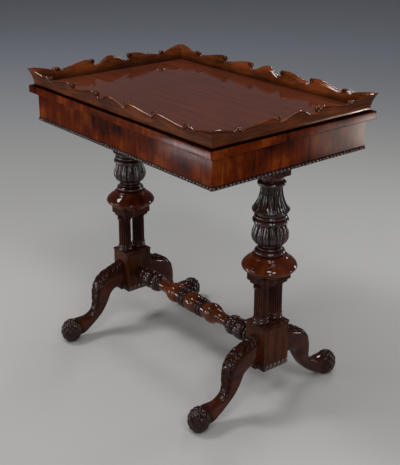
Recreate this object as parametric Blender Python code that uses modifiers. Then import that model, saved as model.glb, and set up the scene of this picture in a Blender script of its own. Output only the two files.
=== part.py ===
"""A polished rosewood work table. A lift-off tray with a scalloped gallery stands on a beaded top, which is
carried by two carved pedestals on scroll legs, joined by a turned stretcher.

Metres, +Z up. The origin is on the floor under the middle of the table, and X runs along the table. Front is
-Y and left is -X.
"""

import math

import bmesh
import bpy
from mathutils import Vector

# Fits
GAP = 0.0003
MITRE_GAP = 0.00015

# Pedestals
PEDESTAL_INSET = 0.0808
BLOCK_CLEARANCE = 0.123
BLOCK_HEIGHT = 0.0925
BLOCK_LENGTH = 0.0666
BLOCK_DEPTH = 0.077
MOULDING_HEIGHT = 0.015
MOULDING_PROJECTION = 0.0025
PLINTH_CAP_HEIGHT = 0.007
PLINTH_CAP_LENGTH = 0.0672
PLINTH_CAP_DEPTH = 0.081
PLINTH_CAP_ROUND = 0.0015
CAP_BLOCK_SIDE = 0.060
CAP_BLOCK_HEIGHT = 0.0427
BLOCK_ROUND = 0.001

# Colonettes, a pair on each pedestal
COLONETTE_HEIGHT = 0.0985
COLONETTE_SPACING = 0.0448
COLONETTE_RADIUS = 0.0162
COLONETTE_NECK_RADIUS = 0.0157
CAPITAL_RADIUS = 0.0176
CAPITAL_DISC_HEIGHT = 0.003
CAPITAL_RING_HEIGHT = 0.006
BASE_RADIUS = 0.018
BASE_RING_RADIUS = 0.0174
BASE_RING_HEIGHT = 0.005
BASE_FILLET_HEIGHT = 0.0025
BASE_TORUS_HEIGHT = 0.008
COLONETTE_TENON_RADIUS = 0.008
COLONETTE_TENON_LENGTH = 0.0045

# Abacus over the colonettes
ABACUS_LENGTH = 0.061
ABACUS_DEPTH = 0.083
ABACUS_PLATE_HEIGHT = 0.018
ABACUS_COVE_HEIGHT = 0.0087
ABACUS_COVE_INSET = 0.0055

# Bun
BUN_RADIUS = 0.0648
BUN_TOP_RADIUS = 0.037
BUN_EDGE_RADIUS = 0.050
BUN_FOOT_RADIUS = 0.044
BUN_SHOULDER_HEIGHT = 0.027
BUN_FULLNESS = 2.2
BUN_UNDER_HEIGHT = 0.0125
BUN_FOOT_HEIGHT = 0.0075

# Carved shaft, from its top down
NECK_RADIUS = 0.026
NECK_FLARE = 0.003
NECK_HEIGHT = 0.011
RING_RADIUS = 0.033
RING_HEIGHT = 0.012
BELL_TOP_RADIUS = 0.0255
BELL_LIP_RADIUS = 0.044
BELL_HEIGHT = 0.056
BELL_CURVE = 2.3
LIP_HEIGHT = 0.008
WAIST_RADIUS = 0.033
WAIST_HEIGHT = 0.004
UPPER_RING_RADIUS = 0.038
UPPER_RING_HEIGHT = 0.009
LOWER_RING_RADIUS = 0.042
LOWER_RING_HEIGHT = 0.011
CUP_TOP_RADIUS = 0.0365
CUP_RADIUS = 0.0435
CUP_FOOT_RADIUS = 0.024
CUP_UPPER_HEIGHT = 0.031
CUP_LOWER_HEIGHT = 0.023
CUP_NECK_HEIGHT = 0.0045
STEP_RADIUS = 0.029
STEP_HEIGHT = 0.007
COLLAR_RADIUS = 0.036
COLLAR_HEIGHT = 0.0125

# Dowel that runs from the abacus through bun and shaft into the cap block
DOWEL_RADIUS = 0.008
DOWEL_IN_ABACUS = 0.010
DOWEL_IN_CAP = 0.022

# Scroll legs
LEG_REACH = 0.2085
LEG_ROOT_DROP = 0.0205
LEG_WIDTH = 0.046
ANKLE_WIDTH = 0.030
TOE_WIDTH = 0.052
TOE_LENGTH = 0.060
TOE_HEIGHT = 0.0655
TOE_FLAT = 0.0015
LEG_TENON_WIDTH = 0.014
LEG_TENON_HEIGHT = 0.047
LEG_TENON_LENGTH = 0.020
LEG_TENON_ROOT = 0.008
LEG_TENON_LIFT = 0.013

# Stretcher, from its middle outwards
STRETCHER_HEIGHT = 0.1585
EGG_RADIUS = 0.026
EGG_END_RADIUS = 0.020
EGG_HALF_LENGTH = 0.022
INNER_RING_RADIUS = 0.0255
INNER_RING_LENGTH = 0.013
OUTER_RING_RADIUS = 0.0248
OUTER_RING_LENGTH = 0.011
VASE_ROOT_RADIUS = 0.021
VASE_ROOT_LENGTH = 0.013
VASE_RADIUS = 0.026
VASE_NECK_RADIUS = 0.0145
FILLET_RADIUS = 0.0172
FILLET_LENGTH = 0.006
LOTUS_RADIUS = 0.0253
LOTUS_LENGTH = 0.031
BALL_NECK_RADIUS = 0.0195
BALL_RADIUS = 0.026
BALL_LENGTH = 0.034
END_RING_RADIUS = 0.021
END_RING_LENGTH = 0.014
END_NECK_RADIUS = 0.016
END_NECK_LENGTH = 0.0222
STRETCHER_TENON_RADIUS = 0.011
STRETCHER_TENON_LENGTH = 0.022

# Top
TOP_LENGTH = 0.715
TOP_DEPTH = 0.486
TOP_THICKNESS = 0.0185
TOP_EDGE_ROUND = 0.0015
FRIEZE_INSET = 0.0165
FRIEZE_HEIGHT = 0.063
FRIEZE_THICKNESS = 0.016
BEAD_HEIGHT = 0.0085
BEAD_PROJECTION = 0.0055
BEAD_UNDERLAP = 0.009
CORNER_BLOCK_SIDE = 0.028
BEARER_THICKNESS = 0.030
BEARER_WIDTH = 0.070
BEARER_LIFT = 0.0035
SCREW_SPACING = 0.038
SCREW_SHANK_RADIUS = 0.0022
SCREW_HEAD_RADIUS = 0.0045
SCREW_HEAD_HEIGHT = 0.0026
SCREW_GRIP = 0.022
SCREW_POINT = 0.003

# Tray
TRAY_INSET = 0.0105
TRAY_FLOOR_THICKNESS = 0.006
SHADOW_GAP = 0.003
GALLERY_THICKNESS = 0.011
GALLERY_TOP_THICKNESS = 0.008
GALLERY_FLARE = 0.0115
GALLERY_PEAK = 0.039
GALLERY_LOW = 0.022
WAVE_END = 0.0255
BUMP_TOP = 0.0325
EAR_ROOT = 0.0275
HUMP_HALF_LENGTH = 0.053
LONG_BUMP = 0.034
SHORT_BUMP = 0.022
EAR_LENGTH = 0.056

# Facets
SHAFT_SIDES = 18
SLENDER_SIDES = 12
DOWEL_SIDES = 12

SIDES = {"left": -1, "right": 1}
ENDS = {"front": -1, "back": 1}


# Levels, from the floor up
block_top = BLOCK_CLEARANCE + BLOCK_HEIGHT
plinth_cap_top = block_top + PLINTH_CAP_HEIGHT
colonette_top = plinth_cap_top + COLONETTE_HEIGHT
abacus_top = colonette_top + ABACUS_COVE_HEIGHT + ABACUS_PLATE_HEIGHT
bun_top = abacus_top + BUN_FOOT_HEIGHT + BUN_UNDER_HEIGHT + BUN_SHOULDER_HEIGHT
shaft_top = bun_top + (
    NECK_HEIGHT + RING_HEIGHT + BELL_HEIGHT + LIP_HEIGHT + WAIST_HEIGHT + UPPER_RING_HEIGHT
    + LOWER_RING_HEIGHT + CUP_UPPER_HEIGHT + CUP_LOWER_HEIGHT + CUP_NECK_HEIGHT + STEP_HEIGHT + COLLAR_HEIGHT
)
cap_top = shaft_top + CAP_BLOCK_HEIGHT
bearer_top = cap_top + BEARER_THICKNESS
frieze_bottom = cap_top - BEARER_LIFT
frieze_top = frieze_bottom + FRIEZE_HEIGHT
board_top = frieze_top + TOP_THICKNESS
gallery_bottom = board_top + SHADOW_GAP
leg_tenon_level = BLOCK_CLEARANCE + LEG_TENON_LIFT + LEG_TENON_HEIGHT / 2

# Outlines, as half lengths along X and Y
frieze_half = Vector((TOP_LENGTH / 2 - FRIEZE_INSET, TOP_DEPTH / 2 - FRIEZE_INSET))
tray_half = Vector((TOP_LENGTH / 2 - TRAY_INSET, TOP_DEPTH / 2 - TRAY_INSET))
pedestal_x = TOP_LENGTH / 2 - PEDESTAL_INSET
block_face_y = BLOCK_DEPTH / 2
stretcher_half = pedestal_x - BLOCK_LENGTH / 2


# Scene

for old in list(bpy.data.objects):
    bpy.data.objects.remove(old)

parts = bpy.data.collections.new("work_table")
cutters = bpy.data.collections.new("cutters")
for collection in (parts, cutters):
    bpy.context.scene.collection.children.link(collection)


def make_material(name, colour, roughness, metallic=0.0):
    material = bpy.data.materials.new(name)
    material.use_nodes = True
    shader = material.node_tree.nodes["Principled BSDF"]
    shader.inputs["Base Color"].default_value = (*colour, 1)
    shader.inputs["Roughness"].default_value = roughness
    shader.inputs["Metallic"].default_value = metallic
    material.diffuse_color = (*colour, 1)
    return material


carved_wood = make_material("dark carved rosewood", (0.035, 0.012, 0.008), 0.3)
figured_wood = make_material("figured rosewood veneer", (0.16, 0.045, 0.018), 0.25)
tray_wood = make_material("polished tray rosewood", (0.12, 0.03, 0.022), 0.15)
turned_wood = make_material("red turned rosewood", (0.11, 0.03, 0.012), 0.2)
plain_wood = make_material("pale secondary wood", (0.42, 0.28, 0.15), 0.7)
iron = make_material("screw iron", (0.2, 0.19, 0.18), 0.5, 1.0)


def make_empty(name, location):
    empty = bpy.data.objects.new(name, None)
    empty.location = location
    parts.objects.link(empty)
    return empty


table = make_empty("table", (0, 0, 0))
tray = make_empty("tray", (0, 0, board_top))


# Ways of making a piece

def add_part(name, mesh, material, location, parent=table, turn=0.0):
    if not mesh.materials:
        mesh.materials.append(material)
    part = bpy.data.objects.new(name, mesh)
    parts.objects.link(part)
    part.parent = parent
    part.location = Vector(location) - parent.location
    part.rotation_euler.z = turn
    return part


def add_cutter(name, mesh, location):
    cutter = bpy.data.objects.new(name, mesh)
    cutter.location = location
    cutter.hide_render = True
    cutter.display_type = "WIRE"
    cutters.objects.link(cutter)
    return cutter


def boolean(target, other, operation="DIFFERENCE"):
    modifier = target.modifiers.new(f"{operation.title()} {other.name}", "BOOLEAN")
    modifier.operation = operation
    modifier.object = other


def round_edges(part, width):
    bevel = part.modifiers.new("Rounded edges", "BEVEL")
    bevel.width = width
    bevel.segments = 1


def box_mesh(name, size):
    shape = bmesh.new()
    bmesh.ops.create_cube(shape, size=1)
    bmesh.ops.scale(shape, vec=size, verts=shape.verts)
    mesh = bpy.data.meshes.new(name)
    shape.to_mesh(mesh)
    shape.free()
    return mesh


def add_box(name, size, location, material, parent=table):
    return add_part(name, box_mesh(name, size), material, location, parent)


def loft_mesh(name, rings):
    """A skin through rings that all have the same number of points, closed at both ends."""
    shape = bmesh.new()
    loops = [[shape.verts.new(point) for point in ring] for ring in rings]
    for first, second in zip(loops, loops[1:]):
        for i in range(len(first)):
            shape.faces.new((first[i - 1], first[i], second[i], second[i - 1]))
    shape.faces.new(loops[0])
    shape.faces.new(loops[-1])
    bmesh.ops.recalc_face_normals(shape, faces=shape.faces)
    mesh = bpy.data.meshes.new(name)
    shape.to_mesh(mesh)
    shape.free()
    return mesh


def profile_mesh(name, profile, bored):
    """The half outline that a Screw turns: radius along X, height along Z, from the top down."""
    shape = bmesh.new()
    points = [shape.verts.new((radius, 0, height)) for radius, height in profile]
    for pair in zip(points, points[1:]):
        shape.edges.new(pair)
    if bored:
        shape.edges.new((points[-1], points[0]))
    mesh = bpy.data.meshes.new(name)
    shape.to_mesh(mesh)
    shape.free()
    return mesh


def lathe(piece, sides):
    screw = piece.modifiers.new("Turned", "SCREW")
    screw.steps = sides
    screw.render_steps = sides
    screw.use_merge_vertices = True
    screw.merge_threshold = 0.00001
    screw.use_smooth_shade = True


def add_turned(name, profile, location, material, sides, bored=False):
    part = add_part(name, profile_mesh(name, profile, bored), material, location)
    lathe(part, sides)
    return part


def rod_profile(radius, low, high):
    return [(0, high), (radius, high), (radius, low), (0, low)]


def add_turned_cutter(name, profile, location, sides):
    cutter = add_cutter(name, profile_mesh(name, profile, bored=False), location)
    lathe(cutter, sides)
    return cutter


# Members of a turned outline: lists of (radius, drop below the member's top)

def band(radius, height):
    return [(radius, 0), (radius, height)]


def half_round(neck, belly, height, steps=4):
    angles = [math.pi * i / steps for i in range(steps + 1)]
    return [(neck + (belly - neck) * math.sin(a), height * (1 - math.cos(a)) / 2) for a in angles]


def shoulder(top, belly, height, fullness=1.0, steps=4):
    """Swells from a small top to its full radius."""
    angles = [math.pi / 2 * i / steps for i in range(steps + 1)]
    return [(top + (belly - top) * math.sin(a) ** fullness, height * (1 - math.cos(a))) for a in angles]


def under(belly, foot, height, steps=4):
    """Turns in from its full radius to a small foot."""
    angles = [math.pi / 2 * i / steps for i in range(steps + 1)]
    return [(foot + (belly - foot) * math.cos(a), height * math.sin(a)) for a in angles]


def flare(top, lip, height, power, steps=5):
    shares = [i / steps for i in range(steps + 1)]
    return [(top + (lip - top) * t ** power, height * t) for t in shares]


def ease(top, belly, height, steps=4):
    shares = [i / steps for i in range(steps + 1)]
    return [(top + (belly - top) * (1 - math.cos(math.pi * t)) / 2, height * t) for t in shares]


def stacked(members, top):
    """(radius, height) points of the members one below another, and the level that they end on."""
    points = []
    level = top
    for member in members:
        for radius, drop in member:
            point = (radius, level - drop)
            if not points or math.dist(point, points[-1]) > GAP / 10:
                points.append(point)
        level -= member[-1][1]
    return points, level


def smooth_through(points, steps):
    """A curve through hand-placed points (Catmull-Rom), with some steps between each two."""
    ends = [2 * points[0] - points[1], *points, 2 * points[-1] - points[-2]]
    curve = []
    for a, b, c, d in zip(ends, ends[1:], ends[2:], ends[3:]):
        for i in range(steps):
            t = i / steps
            curve.append(
                b + (c - a) * t / 2 + (2 * a - 5 * b + 4 * c - d) * t * t / 2 + (3 * b - a - 3 * c + d) * t ** 3 / 2
            )
    return curve + [points[-1]]


# Mitred runs: the four sides of the frieze, the bead moulding and the gallery

def mitred_ring(share, half_length, section):
    """A section of a side that faces -Y and has mitred ends. Its points are (offset outwards, height)."""
    return [
        ((half_length + offset - MITRE_GAP) * share, -offset, height)
        for offset, height in section
    ]


def add_mitred_side(name, side, half, rings, material, parent=table):
    """Places a side made facing -Y on the outline's front, back, left or right edge."""
    turns = {"front": 0.0, "right": math.pi / 2, "back": math.pi, "left": -math.pi / 2}
    places = {"front": (0, -half.y), "right": (half.x, 0), "back": (0, half.y), "left": (-half.x, 0)}
    mesh = loft_mesh(name, rings)
    return add_part(name, mesh, material, (*places[side], 0), parent, turns[side])


def half_length_of(side, half):
    return half.x if side in ("front", "back") else half.y


def add_plain_runs(prefix, half, section, material):
    for side in ("front", "back", "left", "right"):
        length = half_length_of(side, half)
        rings = [mitred_ring(share, length, section) for share in (-1, 1)]
        add_mitred_side(f"{prefix}_{side}", side, half, rings, material)


# Tray

def hump_height(t):
    return GALLERY_LOW + (GALLERY_PEAK - GALLERY_LOW) * math.cos(math.pi / 2 * t) ** 2


def wave_height(t):
    """A scroll end that rises steeply to its crest, then a long S-curved fall to the next notch."""
    crest = 0.17
    if t < crest:
        return GALLERY_LOW + (GALLERY_PEAK - GALLERY_LOW) * math.sin(math.pi / 2 * t / crest) ** 0.6
    fall = (t - crest) / (1 - crest)
    eased = (fall + (1 - math.cos(math.pi * fall)) / 2) / 2
    return GALLERY_PEAK + (WAVE_END - GALLERY_PEAK) * eased


def bump_height(t):
    start = GALLERY_LOW + (EAR_ROOT - GALLERY_LOW) * t
    return start + (BUMP_TOP - start) * math.sin(math.pi * t)


def ear_height(t):
    return EAR_ROOT + (GALLERY_PEAK - EAR_ROOT) * math.sin(math.pi / 2 * t)


def scalloped_edge(half_length, waves, bump):
    """(distance from the middle, height) along half of a gallery board's upper edge."""
    wave = (half_length - HUMP_HALF_LENGTH - bump - EAR_LENGTH) / waves
    runs = [(HUMP_HALF_LENGTH, hump_height, (0, 0.25, 0.5, 0.75))]
    runs += [(wave, wave_height, (0, 0.06, 0.17, 0.45, 0.75, 0.95))] * waves
    runs += [(bump, bump_height, (0, 0.25, 0.5, 0.75)), (EAR_LENGTH, ear_height, (0, 0.35, 0.7, 1))]
    edge = []
    start = 0
    for length, height_at, shares in runs:
        edge += [(start + length * t, height_at(t)) for t in shares]
        start += length
    return edge


def gallery_section(height):
    """Cavetto face that curves outwards as it rises, and an inner face that follows it."""
    shares = (0, 0.4, 0.75, 1)
    outer = [(GALLERY_FLARE * (height * t / GALLERY_PEAK) ** 2, height * t) for t in shares]
    inner = [
        (offset - GALLERY_THICKNESS + (GALLERY_THICKNESS - GALLERY_TOP_THICKNESS) * t, rise)
        for (offset, rise), t in zip(outer, shares)
    ]
    section = outer + inner[::-1]
    return [(offset, gallery_bottom + rise - board_top) for offset, rise in section]


def add_gallery(side, waves, bump):
    length = half_length_of(side, tray_half)
    half_edge = scalloped_edge(length, waves, bump)
    edge = [(-place, height) for place, height in half_edge[:0:-1]] + half_edge
    rings = [mitred_ring(place / length, length, gallery_section(height)) for place, height in edge]
    board = add_mitred_side(f"gallery_{side}", side, tray_half, rings, tray_wood, tray)
    board.location.z = 0


def add_tray():
    reach = GALLERY_THICKNESS + GAP
    size = (2 * (tray_half.x - reach), 2 * (tray_half.y - reach), TRAY_FLOOR_THICKNESS - GAP)
    middle = board_top + (TRAY_FLOOR_THICKNESS + GAP) / 2
    add_box("tray_floor", size, (0, 0, middle), tray_wood, tray)
    for side in ("front", "back"):
        add_gallery(side, waves=2, bump=LONG_BUMP)
    for side in ("left", "right"):
        add_gallery(side, waves=1, bump=SHORT_BUMP)


# Top

def screw_profile(clearance):
    radius = SCREW_SHANK_RADIUS + clearance
    length = BEARER_THICKNESS + SCREW_GRIP
    return [
        (0, clearance),
        (SCREW_HEAD_RADIUS + clearance, clearance),
        (SCREW_HEAD_RADIUS + clearance, 0),
        (radius, -SCREW_HEAD_HEIGHT - clearance),
        (radius, SCREW_POINT - length),
        (0, -length - clearance),
    ]


def add_top():
    size = (TOP_LENGTH, TOP_DEPTH, TOP_THICKNESS - GAP)
    board = add_box("top_board", size, (0, 0, board_top - size[2] / 2), figured_wood)
    round_edges(board, TOP_EDGE_ROUND)
    frieze = [
        (0, frieze_bottom),
        (0, frieze_top),
        (-FRIEZE_THICKNESS, frieze_top),
        (-FRIEZE_THICKNESS, frieze_bottom),
    ]
    add_plain_runs("frieze", frieze_half, frieze, figured_wood)
    bead_top = frieze_bottom - GAP
    nose = half_round(0, BEAD_PROJECTION, BEAD_HEIGHT - GAP)
    bead = [(projection, bead_top - drop) for projection, drop in nose]
    bead += [(-BEAD_UNDERLAP, bead[-1][1]), (-BEAD_UNDERLAP, bead_top)]
    add_plain_runs("bead", frieze_half, bead, carved_wood)


def add_corner_block(side, end):
    """A glue block in the frieze's corner, under the board and above the level of the bearers."""
    inset = FRIEZE_THICKNESS + GAP + CORNER_BLOCK_SIDE / 2
    place = (
        SIDES[side] * (frieze_half.x - inset),
        ENDS[end] * (frieze_half.y - inset),
        (bearer_top + GAP + frieze_top) / 2,
    )
    size = (CORNER_BLOCK_SIDE, CORNER_BLOCK_SIDE, frieze_top - bearer_top - GAP)
    add_box(f"corner_block_{end}_{side}", size, place, plain_wood)


def add_bearer(side, cap):
    """A rail across the frieze, with the screws that hold the pedestal's cap block up to it."""
    x = SIDES[side] * pedestal_x
    depth = 2 * (frieze_half.y - FRIEZE_THICKNESS - GAP)
    size = (BEARER_WIDTH, depth, BEARER_THICKNESS - GAP)
    bearer = add_box(f"bearer_{side}", size, (x, 0, bearer_top - size[2] / 2), plain_wood)
    for end, sign in ENDS.items():
        head = (x, sign * SCREW_SPACING / 2, bearer_top - GAP)
        add_turned(f"cap_screw_{end}_{side}", screw_profile(0), head, iron, DOWEL_SIDES)
        hole = add_turned_cutter(f"screw hole {end} {side}", screw_profile(GAP), head, DOWEL_SIDES)
        boolean(bearer, hole)
        boolean(cap, hole)


# Pedestals

def shaft_profile():
    members = [
        ease(NECK_RADIUS + NECK_FLARE, NECK_RADIUS, NECK_HEIGHT, steps=2),
        half_round(NECK_RADIUS, RING_RADIUS, RING_HEIGHT),
        flare(BELL_TOP_RADIUS, BELL_LIP_RADIUS, BELL_HEIGHT, BELL_CURVE),
        under(BELL_LIP_RADIUS, WAIST_RADIUS, LIP_HEIGHT, steps=3),
        band(WAIST_RADIUS, WAIST_HEIGHT),
        half_round(WAIST_RADIUS, UPPER_RING_RADIUS, UPPER_RING_HEIGHT),
        half_round(CUP_TOP_RADIUS, LOWER_RING_RADIUS, LOWER_RING_HEIGHT),
        ease(CUP_TOP_RADIUS, CUP_RADIUS, CUP_UPPER_HEIGHT),
        under(CUP_RADIUS, CUP_FOOT_RADIUS, CUP_LOWER_HEIGHT),
        band(CUP_FOOT_RADIUS, CUP_NECK_HEIGHT),
        half_round(CUP_FOOT_RADIUS, STEP_RADIUS, STEP_HEIGHT),
        half_round(STEP_RADIUS, COLLAR_RADIUS, COLLAR_HEIGHT - GAP),
    ]
    bore = DOWEL_RADIUS + GAP
    outside, foot = stacked(members, shaft_top - bun_top)
    return outside + [(bore, foot), (bore, shaft_top - bun_top)]


def bun_profile():
    members = [
        shoulder(BUN_TOP_RADIUS, BUN_RADIUS, BUN_SHOULDER_HEIGHT, BUN_FULLNESS),
        under(BUN_RADIUS, BUN_EDGE_RADIUS, BUN_UNDER_HEIGHT),
        band(BUN_FOOT_RADIUS, BUN_FOOT_HEIGHT - GAP),
    ]
    bore = DOWEL_RADIUS + GAP
    outside, foot = stacked(members, bun_top - abacus_top)
    return outside + [(bore, foot), (bore, bun_top - abacus_top)]


def colonette_profile():
    fixed = CAPITAL_DISC_HEIGHT + CAPITAL_RING_HEIGHT + BASE_RING_HEIGHT + BASE_FILLET_HEIGHT + BASE_TORUS_HEIGHT
    column = COLONETTE_HEIGHT - GAP - fixed
    members = [
        band(CAPITAL_RADIUS, CAPITAL_DISC_HEIGHT),
        half_round(COLONETTE_NECK_RADIUS, CAPITAL_RADIUS, CAPITAL_RING_HEIGHT),
        [(COLONETTE_NECK_RADIUS, 0), (COLONETTE_RADIUS, column)],
        half_round(COLONETTE_RADIUS, BASE_RING_RADIUS, BASE_RING_HEIGHT),
        band(COLONETTE_RADIUS, BASE_FILLET_HEIGHT),
        half_round(COLONETTE_RADIUS, BASE_RADIUS, BASE_TORUS_HEIGHT),
    ]
    top = COLONETTE_HEIGHT - GAP
    outside, foot = stacked(members, top)
    tenon = COLONETTE_TENON_LENGTH
    upper = [(0, top + tenon), (COLONETTE_TENON_RADIUS, top + tenon), (COLONETTE_TENON_RADIUS, top)]
    lower = [(COLONETTE_TENON_RADIUS, foot), (COLONETTE_TENON_RADIUS, foot - tenon), (0, foot - tenon)]
    return upper + outside + lower


def oblong(length, depth, height):
    x = length / 2
    y = depth / 2
    return [(-x, -y, height), (x, -y, height), (x, y, height), (-x, y, height)]


def add_abacus(side, x):
    """A plate with a hollow moulding under it, bored for the dowel above and the colonettes below."""
    rings = [oblong(ABACUS_LENGTH, ABACUS_DEPTH, ABACUS_COVE_HEIGHT + ABACUS_PLATE_HEIGHT)]
    for angle in (0, math.pi / 6, math.pi / 3, math.pi / 2):
        shrink = 2 * ABACUS_COVE_INSET * math.sin(angle)
        drop = (ABACUS_COVE_HEIGHT - GAP) * (1 - math.cos(angle))
        rings.append(oblong(ABACUS_LENGTH - shrink, ABACUS_DEPTH - shrink, ABACUS_COVE_HEIGHT - drop))
    name = f"abacus_{side}"
    return add_part(name, loft_mesh(name, rings), carved_wood, (x, 0, colonette_top))


def add_plinth_moulding(side, x):
    """A bulging moulding under the plinth block, as deep as the block and proud of its two long faces."""
    bulges = ((0.0, 0.0), (0.25, 0.85), (0.6, 1.0), (1.0, 0.3))
    rings = [
        oblong(BLOCK_LENGTH + 2 * MOULDING_PROJECTION * bulge, BLOCK_DEPTH, -GAP - (MOULDING_HEIGHT - GAP) * drop)
        for drop, bulge in bulges
    ]
    name = f"plinth_moulding_{side}"
    add_part(name, loft_mesh(name, rings), carved_wood, (x, 0, BLOCK_CLEARANCE))


def add_pedestal(side, leg_mesh):
    x = SIDES[side] * pedestal_x
    cap_size = (CAP_BLOCK_SIDE, CAP_BLOCK_SIDE, CAP_BLOCK_HEIGHT - GAP)
    cap = add_box(f"cap_block_{side}", cap_size, (x, 0, cap_top - cap_size[2] / 2), carved_wood)
    add_turned(f"column_shaft_{side}", shaft_profile(), (x, 0, bun_top), carved_wood, SHAFT_SIDES, bored=True)
    add_turned(f"bun_{side}", bun_profile(), (x, 0, abacus_top), turned_wood, SHAFT_SIDES, bored=True)
    abacus = add_abacus(side, x)

    low = abacus_top - DOWEL_IN_ABACUS
    high = shaft_top + DOWEL_IN_CAP
    dowel = rod_profile(DOWEL_RADIUS, 0, high - low)
    add_turned(f"tie_dowel_{side}", dowel, (x, 0, low), plain_wood, SHAFT_SIDES)
    clear = rod_profile(DOWEL_RADIUS + GAP, -GAP, high - low + GAP)
    bore = add_turned_cutter(f"dowel bore {side}", clear, (x, 0, low), SHAFT_SIDES)
    boolean(cap, bore)
    boolean(abacus, bore)

    plinth_size = (PLINTH_CAP_LENGTH, PLINTH_CAP_DEPTH, PLINTH_CAP_HEIGHT - GAP)
    plinth_cap_level = plinth_cap_top - plinth_size[2] / 2
    plinth_cap = add_box(f"plinth_cap_{side}", plinth_size, (x, 0, plinth_cap_level), carved_wood)
    round_edges(plinth_cap, PLINTH_CAP_ROUND)
    for end, sign in ENDS.items():
        place = (x, sign * COLONETTE_SPACING / 2, plinth_cap_top + GAP)
        add_turned(f"colonette_{end}_{side}", colonette_profile(), place, carved_wood, SLENDER_SIDES)
        reach = COLONETTE_TENON_LENGTH + GAP
        clear = rod_profile(COLONETTE_TENON_RADIUS + GAP, -reach, COLONETTE_HEIGHT - GAP + reach)
        socket = add_turned_cutter(f"colonette socket {end} {side}", clear, place, SLENDER_SIDES)
        boolean(abacus, socket)
        boolean(plinth_cap, socket)

    block_size = (BLOCK_LENGTH, BLOCK_DEPTH, BLOCK_HEIGHT)
    block = add_box(f"plinth_block_{side}", block_size, (x, 0, block_top - BLOCK_HEIGHT / 2), turned_wood)
    round_edges(block, BLOCK_ROUND)
    add_plinth_moulding(side, x)
    for end, sign in ENDS.items():
        turn = 0.0 if sign > 0 else math.pi
        add_part(f"leg_{end}_{side}", leg_mesh, carved_wood, (x, 0, 0), turn=turn)
        mortise = (LEG_TENON_WIDTH + 2 * GAP, 2 * (LEG_TENON_LENGTH + GAP), LEG_TENON_HEIGHT + 2 * GAP)
        name = f"leg mortise {end} {side}"
        boolean(block, add_cutter(name, box_mesh(name, mortise), (x, sign * block_face_y, leg_tenon_level)))
    return cap, block


# Legs

# The leg's outline seen from the end of the table: crest and underside at matching stations, as shares of the
# way out from the block's face to the toe and of the height of the leg's root, with the share of the width
# between ankle and root.
LEG_STATIONS = (
    ((0.00, 1.000), (0.00, 0.610), 0.6),
    ((0.08, 0.965), (0.11, 0.615), 0.75),
    ((0.18, 0.930), (0.20, 0.620), 0.95),
    ((0.37, 0.870), (0.28, 0.565), 1.0),
    ((0.50, 0.750), (0.31, 0.505), 1.0),
    ((0.545, 0.590), (0.345, 0.440), 0.8),
    ((0.555, 0.440), (0.395, 0.365), 0.4),
    ((0.61, 0.355), (0.465, 0.285), 0.1),
    ((0.73, 0.310), (0.61, 0.175), 0.0),
    ((0.88, 0.310), (0.80, 0.080), 0.3),
    ((0.99, 0.290), (0.95, 0.080), 0.3),
)
LEG_STEPS = 2
LEG_SECTION_POINTS = 10
LEG_SQUARENESS = 0.6


def squared(value):
    """Pushes a circle's points towards the corners of its square."""
    return math.copysign(abs(value) ** LEG_SQUARENESS, value)


def leg_rings():
    root_top = block_top - LEG_ROOT_DROP
    start = block_face_y + GAP

    def at(share_out, share_up):
        return Vector((start + (LEG_REACH - start) * share_out, root_top * share_up))

    stations = list(zip(*LEG_STATIONS))
    crest = smooth_through([at(*share) for share in stations[0]], LEG_STEPS)
    underside = smooth_through([at(*share) for share in stations[1]], LEG_STEPS)
    widths = smooth_through([ANKLE_WIDTH + (LEG_WIDTH - ANKLE_WIDTH) * share for share in stations[2]], LEG_STEPS)
    rings = []
    for high, low, width in zip(crest, underside, widths):
        ring = []
        for i in range(LEG_SECTION_POINTS):
            angle = 2 * math.pi * i / LEG_SECTION_POINTS
            place = (high + low) / 2 + (high - low) / 2 * squared(math.sin(angle))
            ring.append((width / 2 * squared(math.cos(angle)), place.x, place.y))
        rings.append(ring)
    return rings


def toe_mesh():
    """A rounded knurl that stands on a small flat."""
    shape = bmesh.new()
    bmesh.ops.create_uvsphere(shape, u_segments=14, v_segments=9, radius=0.5)
    bmesh.ops.scale(shape, vec=(TOE_WIDTH, TOE_LENGTH, TOE_HEIGHT + TOE_FLAT), verts=shape.verts)
    bmesh.ops.translate(shape, vec=(0, LEG_REACH, (TOE_HEIGHT - TOE_FLAT) / 2), verts=shape.verts)
    everything = shape.verts[:] + shape.edges[:] + shape.faces[:]
    cut = bmesh.ops.bisect_plane(shape, geom=everything, plane_co=(0, 0, 0), plane_no=(0, 0, -1), clear_outer=True)
    rim = [edge for edge in cut["geom_cut"] if isinstance(edge, bmesh.types.BMEdge)]
    bmesh.ops.edgeloop_fill(shape, edges=rim)
    bmesh.ops.recalc_face_normals(shape, faces=shape.faces)
    mesh = bpy.data.meshes.new("toe")
    shape.to_mesh(mesh)
    shape.free()
    return mesh


def make_leg_mesh():
    """Shank, toe and tenon as one solid, with the leg pointing to +Y from the pedestal's axis."""
    shank = add_cutter("shank", loft_mesh("shank", leg_rings()), (0, 0, 0))
    toe = add_cutter("toe", toe_mesh(), (0, 0, 0))
    size = (LEG_TENON_WIDTH, LEG_TENON_LENGTH + LEG_TENON_ROOT, LEG_TENON_HEIGHT)
    middle = block_face_y + (LEG_TENON_ROOT - LEG_TENON_LENGTH) / 2
    tenon = add_cutter("tenon", box_mesh("tenon", size), (0, middle, leg_tenon_level))
    boolean(shank, toe, "UNION")
    boolean(shank, tenon, "UNION")
    bpy.context.view_layer.update()
    graph = bpy.context.evaluated_depsgraph_get()
    mesh = bpy.data.meshes.new_from_object(shank.evaluated_get(graph))
    mesh.name = "scroll leg"
    for helper in (shank, toe, tenon):
        bpy.data.objects.remove(helper)
    return mesh


# Stretcher

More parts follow.
